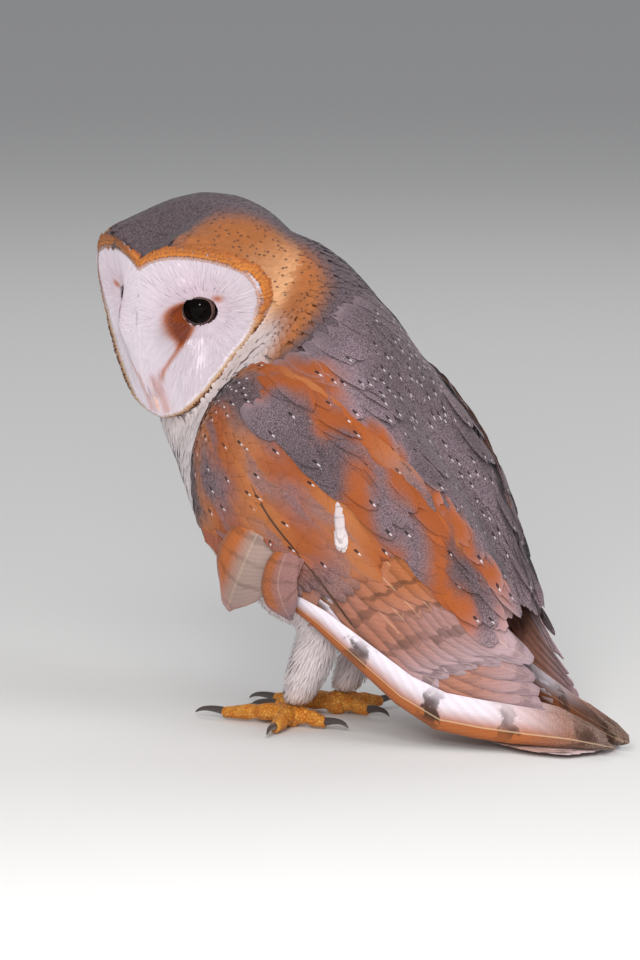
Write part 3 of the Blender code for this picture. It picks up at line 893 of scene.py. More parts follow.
def lieOfCoat(points):
    headwards = headShare(points)
    far, dorsal = bodyPlace(points)
    place = inHead(points)
    fromFace = place[..., 0:1] * headTurn[:, 0] * 0.012 + place[..., 2:3] * headTurn[:, 2] * 0.012
    back = unit(-facing + 0.45 * bodyAxis + fromFace)
    down = unit(bodyAxis + np.array((0, 0, -0.25)) * ease(0.2, -0.6, dorsal)[..., None])
    return unit(blend(down, back, headwards))


def softBatch(roots, lengths, halves, lift, rows, rule, **vane):
    # feathers laid on the guide, coloured row by row so that neighbours melt into each other
    spine, facings = layOnGuide(roots, lieOfCoat(roots), lengths, rows)
    tone, marks = rule(spine)
    return vanes(spine, facings, halves, lift, tone, marks[:, rows // 2], **vane)


headCoat = {
    "spacing": 2.05, "length": 8.0, "varies": 0.6, "slimness": 0.25, "lift": (-0.7, 0.15),
    "vane": {"camber": 0.03, "ragged": 0.04, "loose": 0.03, "dip": 0.25},
}
beyondFace = ~isFace(guide.points[guide.faces].mean(1))
headRoots = guide.scatter(lambda p: headCoat["spacing"] + 0 * p[:, 0], guide.facesOf("head") & beyondFace)
lengths = headCoat["length"] + rng.normal(0, headCoat["varies"], len(headRoots))
halves = lengths * headCoat["slimness"]
headBatch = softBatch(headRoots, lengths, halves, headCoat["lift"], 5, headTone, **headCoat["vane"])
coat("coatHead", [headBatch], plumage)


bodyCoat = {
    "spacing": 2.4, "wider": 3.0, "backWider": 1.0, "length": 3.4, "varies": 0.8, "half": 0.85,
    "lift": (-1.1, 0.35), "dip": 0.4,
    "vane": {"columns": 7, "camber": 0.08, "ragged": 0.04, "loose": 0.04},
}


def bodySpacing(p):
    far, dorsal = bodyPlace(p)
    size = bodyCoat["spacing"] + bodyCoat["wider"] * ease(-160, -105, far)
    return size + bodyCoat["backWider"] * ease(0.1, 0.5, dorsal) * ease(-150, -110, far)


bodyRoots = guide.scatter(bodySpacing, guide.facesOf("neck", "trunk"))
size = bodySpacing(bodyRoots)
lengths = size * bodyCoat["length"] + rng.normal(0, bodyCoat["varies"], len(bodyRoots))
# flatter on the breast, the cheeks and the gold cap
flat = np.max((ease(0.4, 0.1, bodyPlace(bodyRoots)[1]), goldShare(bodyRoots), cheekShare(bodyRoots)), axis=0)
lift = bodyCoat["lift"][0] + 0.5 * flat, bodyCoat["lift"][1] - 0.15 * flat
dip = (bodyCoat["dip"] - 0.18 * flat)[:, None]
halves = size * bodyCoat["half"]
bodyBatch = softBatch(bodyRoots, lengths, halves, lift, 6, bodyThroughHead, dip=dip, **bodyCoat["vane"])
coat("coatBody", [bodyBatch], plumage)


# scapulars: long feathers on a smooth sheet from each wing over its upper edge to the middle of the back, and
# on beyond the rump, where they close the space between the wings

scapularCoat = {
    "reach": (-0.01, 0.82), "rows": (-0.005, 0.66, 0.019), "perRow": 11, "length": 27, "varies": 0.06,
    "half": 5.8, "lift": (-1.4, 0.5), "strays": 0.12, "strayLift": 2.6, "rim": (170, 150, 156),
    "rimShare": 0.35, "vane": {"columns": 7, "camber": 0.07, "ragged": 0.025, "dip": 0.4},
}


def scapularSheet(side):
    s, w = np.linspace(*scapularCoat["reach"], 68), np.linspace(0, 1, 24)[:, None]
    chord = wingChord(s)
    onWing, edge = wingPoint(side, s, 0.68 * chord, 0.8), wingPoint(side, s, chord, 0.8)
    onBack = guide.nearest(edge * (0, 1, 1) + (side * 2, 16, 20))[0]
    between = edge * (0, 1, 1) + (side * 2, -1, -2)
    onBack = blend(onBack, between, ease(0.36, 0.50, s))
    lift = np.array((side * 0.5, 0.6, 0.7)) * (3.2 * ease(0, 0.15, s) * ease(0.7, 0.5, s))[:, None]
    over = edge + 0.3 * (edge - onWing) + lift
    within = 0.45 * edge + 0.55 * onBack + lift
    shares = (1 - w) ** 3, 3 * w * (1 - w) ** 2, 3 * w**2 * (1 - w), w**3
    table = sum(share * line[:, None] for share, line in zip(shares, (onWing, over, within, onBack)))
    for _ in range(3):
        flat = table.reshape(-1, 3)
        found, normal, _ = guide.nearest(flat)
        sunk = np.maximum(1.0 - ((flat - found) * normal).sum(1), 0)
        near = np.linalg.norm(flat - found, axis=1) < 12
        table = (flat + normal * (sunk * near)[:, None]).reshape(table.shape)
        table[1:-1] = 0.5 * table[1:-1] + 0.25 * (table[2:] + table[:-2])
    normal = unit(np.cross(np.gradient(table, axis=0), np.gradient(table, axis=1)))
    return table, normal * np.sign((normal @ np.array((side * 0.6, 0.5, 0.6))).mean())


def fromTable(table, s, w):
    start, end = scapularCoat["reach"]
    row = np.clip((s - start) / (end - start) * (len(table) - 1), 0, len(table) - 1.001)
    column = np.clip(w * (table.shape[1] - 1), 0, table.shape[1] - 1.001)
    i, j = row.astype(int), column.astype(int)
    row, column = row - i, column - j
    low, high = blend(table[i, j], table[i + 1, j], row), blend(table[i, j + 1], table[i + 1, j + 1], row)
    return blend(low, high, column)


def sheetMarks(s, w, warmth):
    w = w + 0.05 * np.sin(s * 43) + 0.02 * np.sin(s * 90 + w * 20)
    band = hump(w, 0.15 + 0.35 * s, 0.10) * ease(0.0, 0.05, s)
    wisp = hump(w, 0.36, 0.12) * hump(s, 0.24, 0.09)
    low = ease(0.34, 0.44, s) * (0.58 + 0.42 * np.sin(w * 17 + s * 31)) * (1 - 0.85 * ease(0.3, 0.5, w))
    warm = np.clip(np.max((band, wisp, low), axis=0), 0, 1) * warmth
    dark = 0.45 + 0.35 * np.sin(w * 9 + s * 20) - 0.9 * hump(w, 0.45, 0.22) * hump(s, 0.27, 0.14)
    tone = blend(blend(lilac, slate, dark), deepGold, ease(0.05, 0.95, warm))
    tone = blend(tone, blush, 0.8 * ease(0.66, 0.76, s))
    return tone, marksOf(0.95 - 0.85 * ease(0, 1, warm), 0.8 * (1 - 0.6 * warm), 0)


def scapularRow(table, normals, row, rootS, warmth):
    grow = 0.5 + 0.5 * ease(0, 0.2, rootS)
    count = int(scapularCoat["perRow"] - 4 * ease(0.3, 0.55, rootS))
    w = (np.arange(count) + 0.25 + 0.5 * (row % 2)) / count + rng.normal(0, 0.012, count)
    s = rootS + rng.normal(0, 0.004, count)
    root = fromTable(table, np.clip(s, -0.01, 0.81), np.clip(w, 0.01, 0.98))
    away = np.max((headShare(root), goldShare(root), cheekShare(root)), axis=0) < 0.04
    if not away.any():
        return []
    s, w, count = s[away], w[away], away.sum()
    lengths = scapularCoat["length"] * grow / wingLength * (1 + rng.normal(0, scapularCoat["varies"], count))
    stray = (rng.random(count) < scapularCoat["strays"]) * ease(0.10, 0.2, s) * ease(0.9, 0.6, w)
    v, u = np.linspace(0, 1, 7), np.linspace(-1, 1, 7)
    along = np.clip(s[:, None] + lengths[:, None] * v, -0.01, 0.815)
    beside = np.clip(w[:, None] + 0 * v, 0.01, 0.985)
    spine, facings = fromTable(table, along, beside), unit(fromTable(normals, along, beside))
    tone, marks = sheetMarks(along[..., None] + 0 * u, beside[..., None] + 0.055 * u, warmth)
    marks[..., 1] = marks[:, 5:6, 3:4, 1]
    rim = np.maximum(ease(0.55, 1, np.abs(u)), ease(0.8, 1, v)[:, None]) * scapularCoat["rimShare"]
    tone = blend(tone, paint(*scapularCoat["rim"]), rim * ease(0.2, 0.45, w)[:, None, None])
    tone = tone * (1 + rng.normal(0, 0.05, (count, 1, 1, 1)))
    low, high = scapularCoat["lift"]
    lift = low, high + scapularCoat["strayLift"] * stray
    return [vanes(spine, facings, scapularCoat["half"] * grow, lift, tone, marks, **scapularCoat["vane"])]


scapulars = []
for side in (1, -1):
    table, normals = scapularSheet(side)
    for row, rootS in enumerate(np.arange(*scapularCoat["rows"])):
        # less gold on the right, far side: painted shade, on top of the lilac and slate these feathers have
        # anyway
        scapulars += scapularRow(table, normals, row, rootS, 0.6 + 0.4 * side)
coat("coatScapulars", scapulars, plumage)


# facial disc; a length or half width is the least, and what chance may add

discCoat = {
    "middleUp": 9.5, "spacing": 0.82, "edge": 0.985, "byLids": 900, "byRidge": 1300, "length": (6.0, 2.5),
    "half": (0.46, 0.14), "lift": (-0.15, 0.3), "loose": 0.05,
    "vane": {"columns": 3, "shape": hairShape, "camber": 0.1, "roundTip": 0.2, "ragged": 0.04},
}
bristles = {
    "count": 520, "length": (8, 4), "half": (0.35, 0.12), "lift": (-0.3, 0.35), "loose": 0.08,
    "overBill": 1.6,
}


def besideEye(spots):
    # those spots that are clear of the lids
    side, up = np.abs(spots[:, 0]) - eyes["side"], spots[:, 1] - eyes["openUp"]
    return spots[np.hypot(side / eyes["openHalf"][0], up / eyes["openHalf"][1]) > 1]


def insideHeart(spacing, edge):
    spots = rng.uniform((-56, -46, 0), (56, 46, 0), (int(22000 / spacing**2), 3))
    angle, radius = around(spots[:, 0], spots[:, 1])
    spots = besideEye(spots[radius / discEdge(angle) < edge])
    return spots[spread(spots, np.full(len(spots), spacing))]


def eyeRing(count):
    turn, out = rng.uniform(0, 2 * np.pi, count), rng.uniform(0, 2.4, count)
    side = eyes["side"] + (eyes["openHalf"][0] - 0.3 + out) * np.cos(turn)
    up = eyes["openUp"] + (eyes["openHalf"][1] - 0.3 + out) * np.sin(turn)
    return np.stack((side * rng.choice((-1, 1), count), up, 0 * turn), 1)


def ridgeRoots(count):
    # more of them beside the ridge, where the face is steepest
    spots = besideEye(rng.uniform((4.5, -12, 0), (17, 23, 0), (count, 3)))
    return spots * np.stack((rng.choice((-1, 1), len(spots)), np.ones(len(spots)), np.ones(len(spots))), 1)


def someOf(look, key, count):
    # a least value and a random share of what may come on top
    least, more = look[key]
    return least + more * rng.random(count)


def faceBatch(sideLine, upLine, height, tone, look):
    spine = onFace(sideLine, upLine, height)
    facings, half = np.broadcast_to(facing, spine.shape), someOf(look, "half", len(spine))
    return vanes(spine, facings, half, look["lift"], tone, bare, loose=look["loose"], **discCoat["vane"])


v = np.linspace(0, 1, 5)
discRoots = [insideHeart(discCoat["spacing"], discCoat["edge"])]
discRoots += [eyeRing(discCoat["byLids"]), ridgeRoots(discCoat["byRidge"])]
side, up, _ = np.concatenate(discRoots).T
reach = np.abs(side)
away = unit(np.stack((reach - eyes["side"], up - discCoat["middleUp"]), 1))
away = unit(blend(away, np.array((0.2, -1.0)), hump(reach, 0, 7) * ease(6, -8, up)))
fromEye = np.hypot(reach - eyes["side"], up - discCoat["middleUp"])
lengths = someOf(discCoat, "length", len(side)) * (0.6 + 0.4 * ease(8, 20, fromEye))
angle, radius = around(side, up)
lengths = np.minimum(lengths, np.maximum(1.02 * discEdge(angle) - radius, 0.9))[:, None]
sideLine = np.maximum(reach[:, None] + away[:, 0:1] * lengths * v, 0.15)
upLine = up[:, None] + away[:, 1:2] * lengths * v
brow = 6.0 * hump(sideLine, 10.5, 4.0) * hump(upLine, 7, 11)
brow += 3.2 * hump(sideLine, 14.4, 2.2) * hump(upLine, 10, 6)
sideLine = sideLine * np.where(side < 0, -1, 1)[:, None]
tone = faceTone(sideLine, upLine) * (0.95 + 0.05 * v[None, :, None])
discBatch = faceBatch(sideLine, upLine, brow, tone, discCoat)

# bristles that run down beside the ridge and over the root of the bill
count = bristles["count"]
reach, up = np.abs(rng.normal(0, 3.4, count)), rng.uniform(-22, 10, count)
lengths = someOf(bristles, "length", count) * (0.7 + 0.3 * ease(8, -10, up))
handed = rng.choice((-1, 1), count)
sideLine = (reach[:, None] + (0.5 + 0.12 * reach)[:, None] * 1.6 * v) * handed[:, None]
upLine = up[:, None] - lengths[:, None] * v
over = 0.2 + bristles["overBill"] * hump(sideLine, 0, 5.5) * ease(-12, -24, upLine)
bristleBatch = faceBatch(sideLine, upLine, over, faceTone(sideLine, upLine), bristles)
coat("coatFace", [discBatch, bristleBatch], faceFeathers)


# ruff: rows of feathers outward from the heart's edge, each with its colours at root and tip above and below

ruffVane = {"columns": 3, "camber": 0.15, "roundTip": 0.7, "ragged": 0.05, "loose": 0.1}
thinEdge = paint(168, 112, 76)
rim = paint(204, 126, 58)
ruffRows = (
    {"share": 0.0, "length": 2.6, "half": 0.6, "lift": (-0.1, 0.8), "count": 460,
     "below": (palest, cream), "above": (blend(palest, thinEdge, 0.7), None)},
    {"share": 0.22, "length": 3.0, "half": 0.7, "lift": (-0.1, 0.95), "count": 420,
     "below": (cream, blend(deepGold, cream, 0.3)), "above": (rim, rim)},
    {"share": 0.48, "length": 3.2, "half": 0.8, "lift": (-0.1, 0.8), "count": 380,
     "below": (paint(108, 64, 40), paint(92, 54, 36)), "above": (gold, rim)},
    {"share": 0.75, "length": 3.2, "half": 0.9, "lift": (-0.2, 0.5), "count": 360,
     "below": (white, white), "above": (gold, blend(gold, deepGold, 0.5))},
)


def onRuff(angle, radius):
    # on the face, and round behind its edge where the radius passes it
    side, up = radius * np.sin(angle), 2 + radius * np.cos(angle)
    past = np.maximum(headRadius(side, up) - 1, 0) * 48
    radius = radius - 0.5 * past
    return onFace(radius * np.sin(angle), 2 + radius * np.cos(angle), -1.2 * past)


def ruffBatch(ring):
    count = ring["count"]
    angle = np.linspace(-np.pi, np.pi, count, endpoint=False) + rng.normal(0, 0.006, count)
    degrees = np.degrees(np.abs(angle))
    root = discEdge(degrees) + ring["share"] * ruffWidth(degrees) - 1.6 - 1.2 * hump(degrees, 125, 35)
    radius = root[:, None] + ring["length"] * v * (1 + rng.normal(0, 0.06, (count, 1)))
    sway = angle[:, None] + rng.normal(0, 0.01, (count, 1)) * v
    spine = onRuff(sway, radius)
    beside = onRuff(sway + 0.01, radius) - onRuff(sway - 0.01, radius)
    facings = unit(np.cross(beside, np.gradient(spine, axis=1)))
    facings = facings * np.sign((facings * facing).sum(-1, keepdims=True) + 0.3)
    upper = ease(100, 78, degrees)[:, None] * np.ones((1, 5))
    tip = np.broadcast_to(ease(0.55, 0.95, v), (count, 5))
    (rootBelow, tipBelow), (rootAbove, tipAbove) = ring["below"], ring["above"]
    if tipAbove is None:
        tipAbove = blend(deepGold, umber, (0.35 + 0.55 * rng.random(count))[:, None])
    tone = blend(blend(rootBelow, rootAbove, upper), blend(tipBelow, tipAbove, upper), tip)
    lift = ring["lift"][0] + 0.5 * upper[:, 0], ring["lift"][1] - 0.05 * upper[:, 0]
    return vanes(spine, facings, ring["half"], lift, tone, bare, **ruffVane)


coat("coatRuff", [ruffBatch(ring) for ring in ruffRows], plumage)


# wings

covertCoat = {
    "rows": (0.008, 0.47), "size": 4.0, "wider": 4.6, "crowding": 1.25, "rowStep": 0.8, "length": 3.2,
    "half": 0.66, "lift": (-1.5, 0.3), "rightWingShadeGrey": 0.7,
    "vane": {"columns": 7, "camber": 0.05, "ragged": 0.02, "loose": 0.05, "dip": 0.35},
}
# those that lie over the roots of the curls: their middle lines and their greys
overCurls = {
    "lines": (
        ((56, -26.6, 106.7), (62, -18.2, 97.2), (64.5, -14.1, 88.9)),
        ((56, -19.4, 111.3), (62, -11.0, 101.7), (64.5, -6.9, 93.5)),
        ((56, -11.6, 118.3), (62, -3.2, 108.8), (64.5, 0.9, 100.5)),
        ((56, -3.9, 118.0), (62, 4.5, 108.4), (64.5, 8.7, 100.2)),
        ((56, 3.9, 112.6), (62, 12.3, 103.1), (64.5, 16.5, 94.8)),
        ((56, 11.7, 106.3), (62, 20.1, 96.8), (64.5, 24.2, 88.5)),
        ((56, 18.9, 99.5), (62, 27.3, 90.0), (64.5, 31.4, 81.7)),
    ),
    "greys": (0.1, 0.5, 0.6, 0.2, 0.1, 0.3, 0.5), "half": 6.6,
    "marks": (0.45, 0.4, 0, 0.1),
    "vane": {"columns": 7, "camber": 0.15, "roundTip": 1.0, "ragged": 0.01},
}


def covertBatches(side):
    batches = []
    (s, end), row = covertCoat["rows"], 0
    while s < end:
        size = covertCoat["size"] + covertCoat["wider"] * ease(0.04, 0.40, s)
        count = max(int(float(wingChord(np.array(s))) / size * covertCoat["crowding"]), 3)
        t = (np.arange(count) + 0.5 + 0.5 * (row % 2)) / (count + 0.5) + rng.normal(0, 0.006, count)
        rootS = s + rng.normal(0, 0.004, count)
        tipS = rootS + size * covertCoat["length"] / wingLength
        keep = tipS < 0.40 + 0.13 * ease(0.12, 0.5, t)
        rootS, tipS, t = rootS[keep], tipS[keep], t[keep]
        if len(t):
            spine, facings = wingLine(side, rootS, tipS, t, t, 6)
            v, u, half = np.linspace(0, 1, 6), np.linspace(-1, 1, 7), size * covertCoat["half"]
            along = rootS[:, None, None] + (tipS - rootS)[:, None, None] * v[:, None] + 0 * u
            beside = t[:, None, None] + u * half / wingChord(along)
            # the right wing's upper edge is made greyer, as painted shade on the far side
            tone, marks = wingMarks(along, beside, covertCoat["rightWingShadeGrey"] * (side < 0))
            marks[..., 1] = marks[:, 4:5, 3:4, 1]
            lift, more = covertCoat["lift"], covertCoat["vane"]
            batches.append(vanes(spine, facings, half, lift, tone, marks, hand=side, **more))
        s += size * covertCoat["rowStep"] / wingLength
        row += 1
    lines = np.array(overCurls["lines"])
    spine = np.array([curveThrough(line, np.linspace(0, 1, 6)) for line in lines]) * (side, 1, 1)
    facings = np.broadcast_to(unit(np.array((side, 0.25, 0.2))), spine.shape)
    tone = blend(deepGold, lilac, np.array(overCurls["greys"]))
    half, marks, more = overCurls["half"], overCurls["marks"], overCurls["vane"]
    return batches + [vanes(spine, facings, half, (0, 0), tone, marks, hand=side, **more)]


def flightTone(base, tip, tipStart, inner=None):
    # colour along the vane from base to tip, with a different inner web
    v, u = np.linspace(0, 1, 9), np.linspace(-1, 1, 5)
    base, tip = np.atleast_2d(base)[:, None], np.atleast_2d(tip)[:, None]
    tone = blend(base, tip, ease(tipStart, 1, v)[None])[:, :, None] + np.zeros((5, 1))
    if inner is not None:
        tone = blend(tone, inner, ease(0.02, 0.12, u) * (1 - ease(0.6, 0.95, v))[:, None])
    return tone


def shaftBars(veil, tipVeil, bars):
    # marks whose bars stay near the shaft, and a veil that thickens at the tip
    v, u = np.linspace(0, 1, 9)[:, None], np.linspace(-1, 1, 5)
    near = np.interp(u, (-1, -0.5, 0, 0.5, 1), (0.1, 0.75, 1, 0.85, 0.1))
    return marksOf(veil + (tipVeil - veil) * ease(0.78, 0.95, v), 0, 0, bars * near)[None]


# the flight feathers from the lowest layer up, with roots and tips in shares of the wing's length and breadth
three, seven, nine, thirteen = (np.arange(count) for count in (3, 7, 9, 13))
covertTone, covertMarks = wingMarks(0.40 + np.linspace(0, 0.14, 9) + 0 * thirteen[:, None],
                                    (0.3 + 0.052 * thirteen)[:, None] + np.zeros(9))
flightRows = {
    "outer primaries, with pale inner webs": {
        "roots": (0.46, 0.14 + 0.05 * three), "tips": (0.985 - 0.012 * three, 0.5 + 0.12 * three),
        "layer": -3.4, "half": 8.5, "lift": (-0.2, -0.7),
        "tone": flightTone(blend(deepGold, gold, 0.5), tawny, 0.75, palest),
        "marks": shaftBars(0.1, 0.7, 0.9), "vane": {"skew": 0.25},
    },
    "inner primaries, with rounded pale tips": {
        "roots": (0.48, 0.20 + 0.06 * seven), "tips": (0.90 - 0.012 * seven, 0.16 + 0.10 * seven),
        "layer": -3.2 + 0.25 * seven, "half": 8.0, "lift": (0.1, 0.4),
        "tone": flightTone(blend(gold, blush, 0.3), blend(blush, lilac, 0.15), 0.62),
        "marks": (0.15, 0, 0, 0.3),
    },
    "lower secondaries": {
        "roots": (0.40, 0.32 + 0.072 * nine), "tips": (0.675 + 0.018 * nine, 0.25 + 0.080 * nine),
        "uneven": 0.004, "layer": -2.6 + 0.2 * nine, "half": 9.5, "lift": (0.2, 0.8),
        "tone": flightTone(blend(blend(deepGold, gold, 0.6), blush, 0.25 + 0.3 * ease(2, 6, nine)),
                           blend(blush, palest, 0.1), 0.62),
        "marks": (0.12, 0, 0, 0.45), "vane": {"roundTip": 0.9},
    },
    "upper secondaries": {
        "roots": (0.42, 0.46 + 0.072 * seven), "tips": (0.590 + 0.018 * seven, 0.42 + 0.080 * seven),
        "uneven": 0.004, "layer": -1.5 + 0.15 * seven, "half": 9.0, "lift": (0.2, 0.9),
        "tone": flightTone(blend(blend(deepGold, gold, 0.7), blush, 0.15 * ease(4.5, 0.0, seven)),
                           blend(gold, blush, 0.4), 0.8),
        "marks": (0.12, 0, 0, 0.55), "vane": {"roundTip": 0.9},
    },
    "greater coverts": {
        "roots": (0.37, 0.29 + 0.053 * thirteen),
        "tips": (0.50 + 0.004 * thirteen, 0.27 + 0.055 * thirteen), "layer": -1.5, "half": 7.4,
        "lift": (0.1, 1.0), "tone": covertTone[:, :, None], "marks": covertMarks[:, 6],
        "vane": {"camber": 0.1},
    },
    "coverts of the primaries": {
        "roots": (0.26 + 0.006 * seven, 0.10 + 0.045 * seven),
        "tips": (0.425 + 0.008 * seven, 0.06 + 0.04 * seven), "layer": -1.3, "half": 6.0,
        "lift": (0.0, 0.8), "tone": flightTone(deepGold, blend(lilac, deepGold, 0.3), 0.7),
        "marks": (0.5, 0.3, 0, 0.35), "vane": {"camber": 0.12},
    },
    "outermost primary": {
        "roots": (0.40, 0.06), "tips": (0.985, 0.45), "layer": -1.8, "half": 9.8, "lift": (0.2, -0.4),
        "tone": flightTone(blend(deepGold, gold, 0.5), tawny, 0.78, palest),
        "marks": shaftBars(0.1, 0.8, 1.0), "vane": {"skew": 0.42, "camber": 0.04},
    },
    "pale patch where feathers have slipped apart": {
        "roots": ((0.412, 0.416, 0.424), (0.67, 0.645, 0.62)),
        "tips": ((0.456, 0.468, 0.460), (0.50, 0.475, 0.455)), "layer": -0.4, "half": (2.6, 2.8, 2.2),
        "lift": (0.0, 0.7), "tone": flightTone(blend(white, blush, 0.3), white, 0.5),
        "marks": (0.1, 0, 0, 0.3), "vane": {"camber": 0.1, "ragged": 0.05, "roundTip": 0.4},
    },
    # painted shadow: narrow dark feathers laid along the shadowed gaps between the stacked coverts and flight
    # feathers
    "painted shadow in the gaps between feathers": {
        "roots": ((0.29, 0.40), (0.43, 0.31)), "tips": ((0.41, 0.52), (0.31, 0.20)), "layer": -0.5,
        "half": 0.5, "lift": (0.4, 0.6), "tone": flightTone(paint(84, 58, 46), umber, 0.5),
        "marks": bare,
    },
}


def flightBatch(side, row):
    ends = np.broadcast_arrays(*(np.atleast_1d(np.asarray(x, float)) for x in (*row["roots"], *row["tips"])))
    rootS, rootT, tipS, tipT = ends
    if "uneven" in row:
        tipS = tipS + rng.normal(0, row["uneven"], len(tipS))
    spine, facings = wingLine(side, rootS, tipS, rootT, tipT, 9, row["layer"])
    more = {"shape": longShape, "camber": 0.06, "roundTip": 0.8, "ragged": 0.008} | row.get("vane", {})
    return vanes(spine, facings, row["half"], row["lift"], row["tone"], row["marks"], hand=side, **more)


# displaced feathers that curl down from the lower edge of the wing
curlFeathers = (
    {
        "line": ((60, 10.9, 109.2), (66, 7.3, 97.2), (68.5, 3.1, 86.3), (67, -3.4, 74.1), (61, -12.3, 61.0)),
        "half": 17, "tip": blend(gold, blush, 0.7), "web": paint(150, 130, 122), "webShare": 0.95,
        "marks": (0.1, 0, 0, 0.3),
    },
    {
        "line": ((55, 12.8, 103.4), (59, 9.6, 92.7), (60.5, 7.1, 80.8), (59, 7.2, 68.2)), "half": 9,
        "tip": palest, "web": palest, "webShare": 1, "marks": (0.1, 0, 0, 0),
    },
    {
        "line": ((60, 24.6, 95.3), (67, 24.6, 87.6), (69, 23.6, 77.9), (67.5, 25.6, 68.0), (61, 26.0, 59.5)),
        "half": 9.5, "tip": lilac, "web": lilac, "webShare": 0.6, "marks": (0.3, 0, 0, 0.3),
    },
)


def curlBatch(side, curl):
    u, v = np.linspace(-1, 1, 9), np.linspace(0, 1, 25)
    spine = curveThrough(curl["line"], v)[None] * (side, 1, 1)
    facings = np.broadcast_to(unit(np.array((side, 0.25, 0.2))), spine.shape)
    tone = blend(blend(deepGold, gold, 0.4), curl["tip"], ease(0.75, 1, v))[:, None] + np.zeros((9, 1))
    web = ease(-0.55, -0.05, u) * (1 - ease(0.85, 1, v))[:, None]
    tone = blend(tone, curl["web"], curl["webShare"] * web)[None]
    return vanes(spine, facings, curl["half"], (0, 0), tone, curl["marks"], 9, hand=side, shape=curlShape,
                 camber=0.22, roundTip=0.8, ragged=0.01)


bladeThickness = 0.35
for name, side in hands:
    coat("coverts_" + name, covertBatches(side), plumage)
    flights = [flightBatch(side, row) for row in flightRows.values()]
    coat(f"flight_{name}_feathers", flights, plumage, [f"flight_{name}"], bladeThickness)
    curls = [curlBatch(side, curl) for curl in curlFeathers]
    coat(f"alula_{name}_feathers", curls, plumage, [f"alula_{name}"], bladeThickness)


# tail

tailCoat = {
    "line": ((0, 56, 40), (0, 78, 24), (0, 100, 10.5), (0, 122, 4.4), (0, 146, 2.6), (0, 168, 2.0)),
    "count": 12, "fan": (7, 15), "half": 8.5, "marks": (0.35, 0, 0, 0.8),
    "vane": {"shape": longShape, "camber": 0.05, "roundTip": 0.7, "ragged": 0.006},
}
tailCoverts = {
    "count": 16, "length": 0.34, "half": 7.0, "marks": (0.5, 0, 0, 0.1),
    "vane": {"camber": 0.12, "ragged": 0.02},
}


def tailBatch(spine, lift, tone, coatOf):
    facings = unit(np.cross(np.array((1.0, 0, 0)), np.gradient(spine, axis=1)))
    facings = facings * np.sign(facings[..., 2:3])
    return vanes(spine, facings, coatOf["half"], lift, tone, coatOf["marks"], **coatOf["vane"])


v = np.linspace(0, 1, 9)
fan = np.linspace(-1, 1, tailCoat["count"])[:, None]
spine = np.repeat(curveThrough(tailCoat["line"], 0.12 + 0.88 * v)[None], tailCoat["count"], 0)
spine[..., 0] = fan * (tailCoat["fan"][0] + tailCoat["fan"][1] * v)
spine[..., 1] -= fan**2 * 6 * v
spine[..., 2] += (0.5 + 1.6 * (1 - np.abs(fan))) * (1 - 0.75 * v)
tone = blend(gold, palest, 0.25 + 0.35 * ease(0.8, 1, v))[None, :, None]
tailFeathers = tailBatch(spine, (0.0, 0.2), tone, tailCoat)
count = tailCoverts["count"]
x, start = rng.uniform(-15, 15, (1, count)).T, rng.uniform(0.0, 0.22, count)
spine = np.stack([curveThrough(tailCoat["line"], begin + tailCoverts["length"] * v) for begin in start])
spine[..., 0] = x * (1 + 0.3 * v)
spine[..., 2] += 3.5 - 2.0 * v - 0.006 * x**2
overTail = tailBatch(spine, (-1, 0.6), blend(gold, lilac, rng.random(count)), tailCoverts)
coat("tail_feathers", [tailFeathers, overTail], plumage, ["tail"], bladeThickness)


# legs

legCoat = {
    "spacing": 1.6, "length": (7.5, 1.5), "half": (0.7, 0.4), "lift": (-2.2, 0.9),
    "lie": (0, -0.42, -0.9),
    "vane": {"columns": 3, "shape": hairShape, "camber": 0.2, "roundTip": 0.2, "ragged": 0.05},
}
onLegs = guide.facesOf("shank_left", "shank_right", "thigh_left", "thigh_right")
legRoots = guide.scatter(lambda p: legCoat["spacing"] + 0 * p[:, 0], onLegs)
lengths = someOf(legCoat, "length", len(legRoots))
aims = np.broadcast_to(np.array(legCoat["lie"]), legRoots.shape)
spine, facings = layOnGuide(legRoots, aims, lengths, 4)
halves = someOf(legCoat, "half", len(legRoots))
legBatch = vanes(spine, facings, halves, legCoat["lift"], *legTone(legRoots), **legCoat["vane"])
coat("coatLegs", [legBatch], faceFeathers)


# eyes and lids


def lathe(name, rings, material, stands=()):
    rings = np.array(rings)
    made = meshPiece(name, rings, gridFaces(1, *rings.shape[:2], True))
    placePiece(made, material, stands)


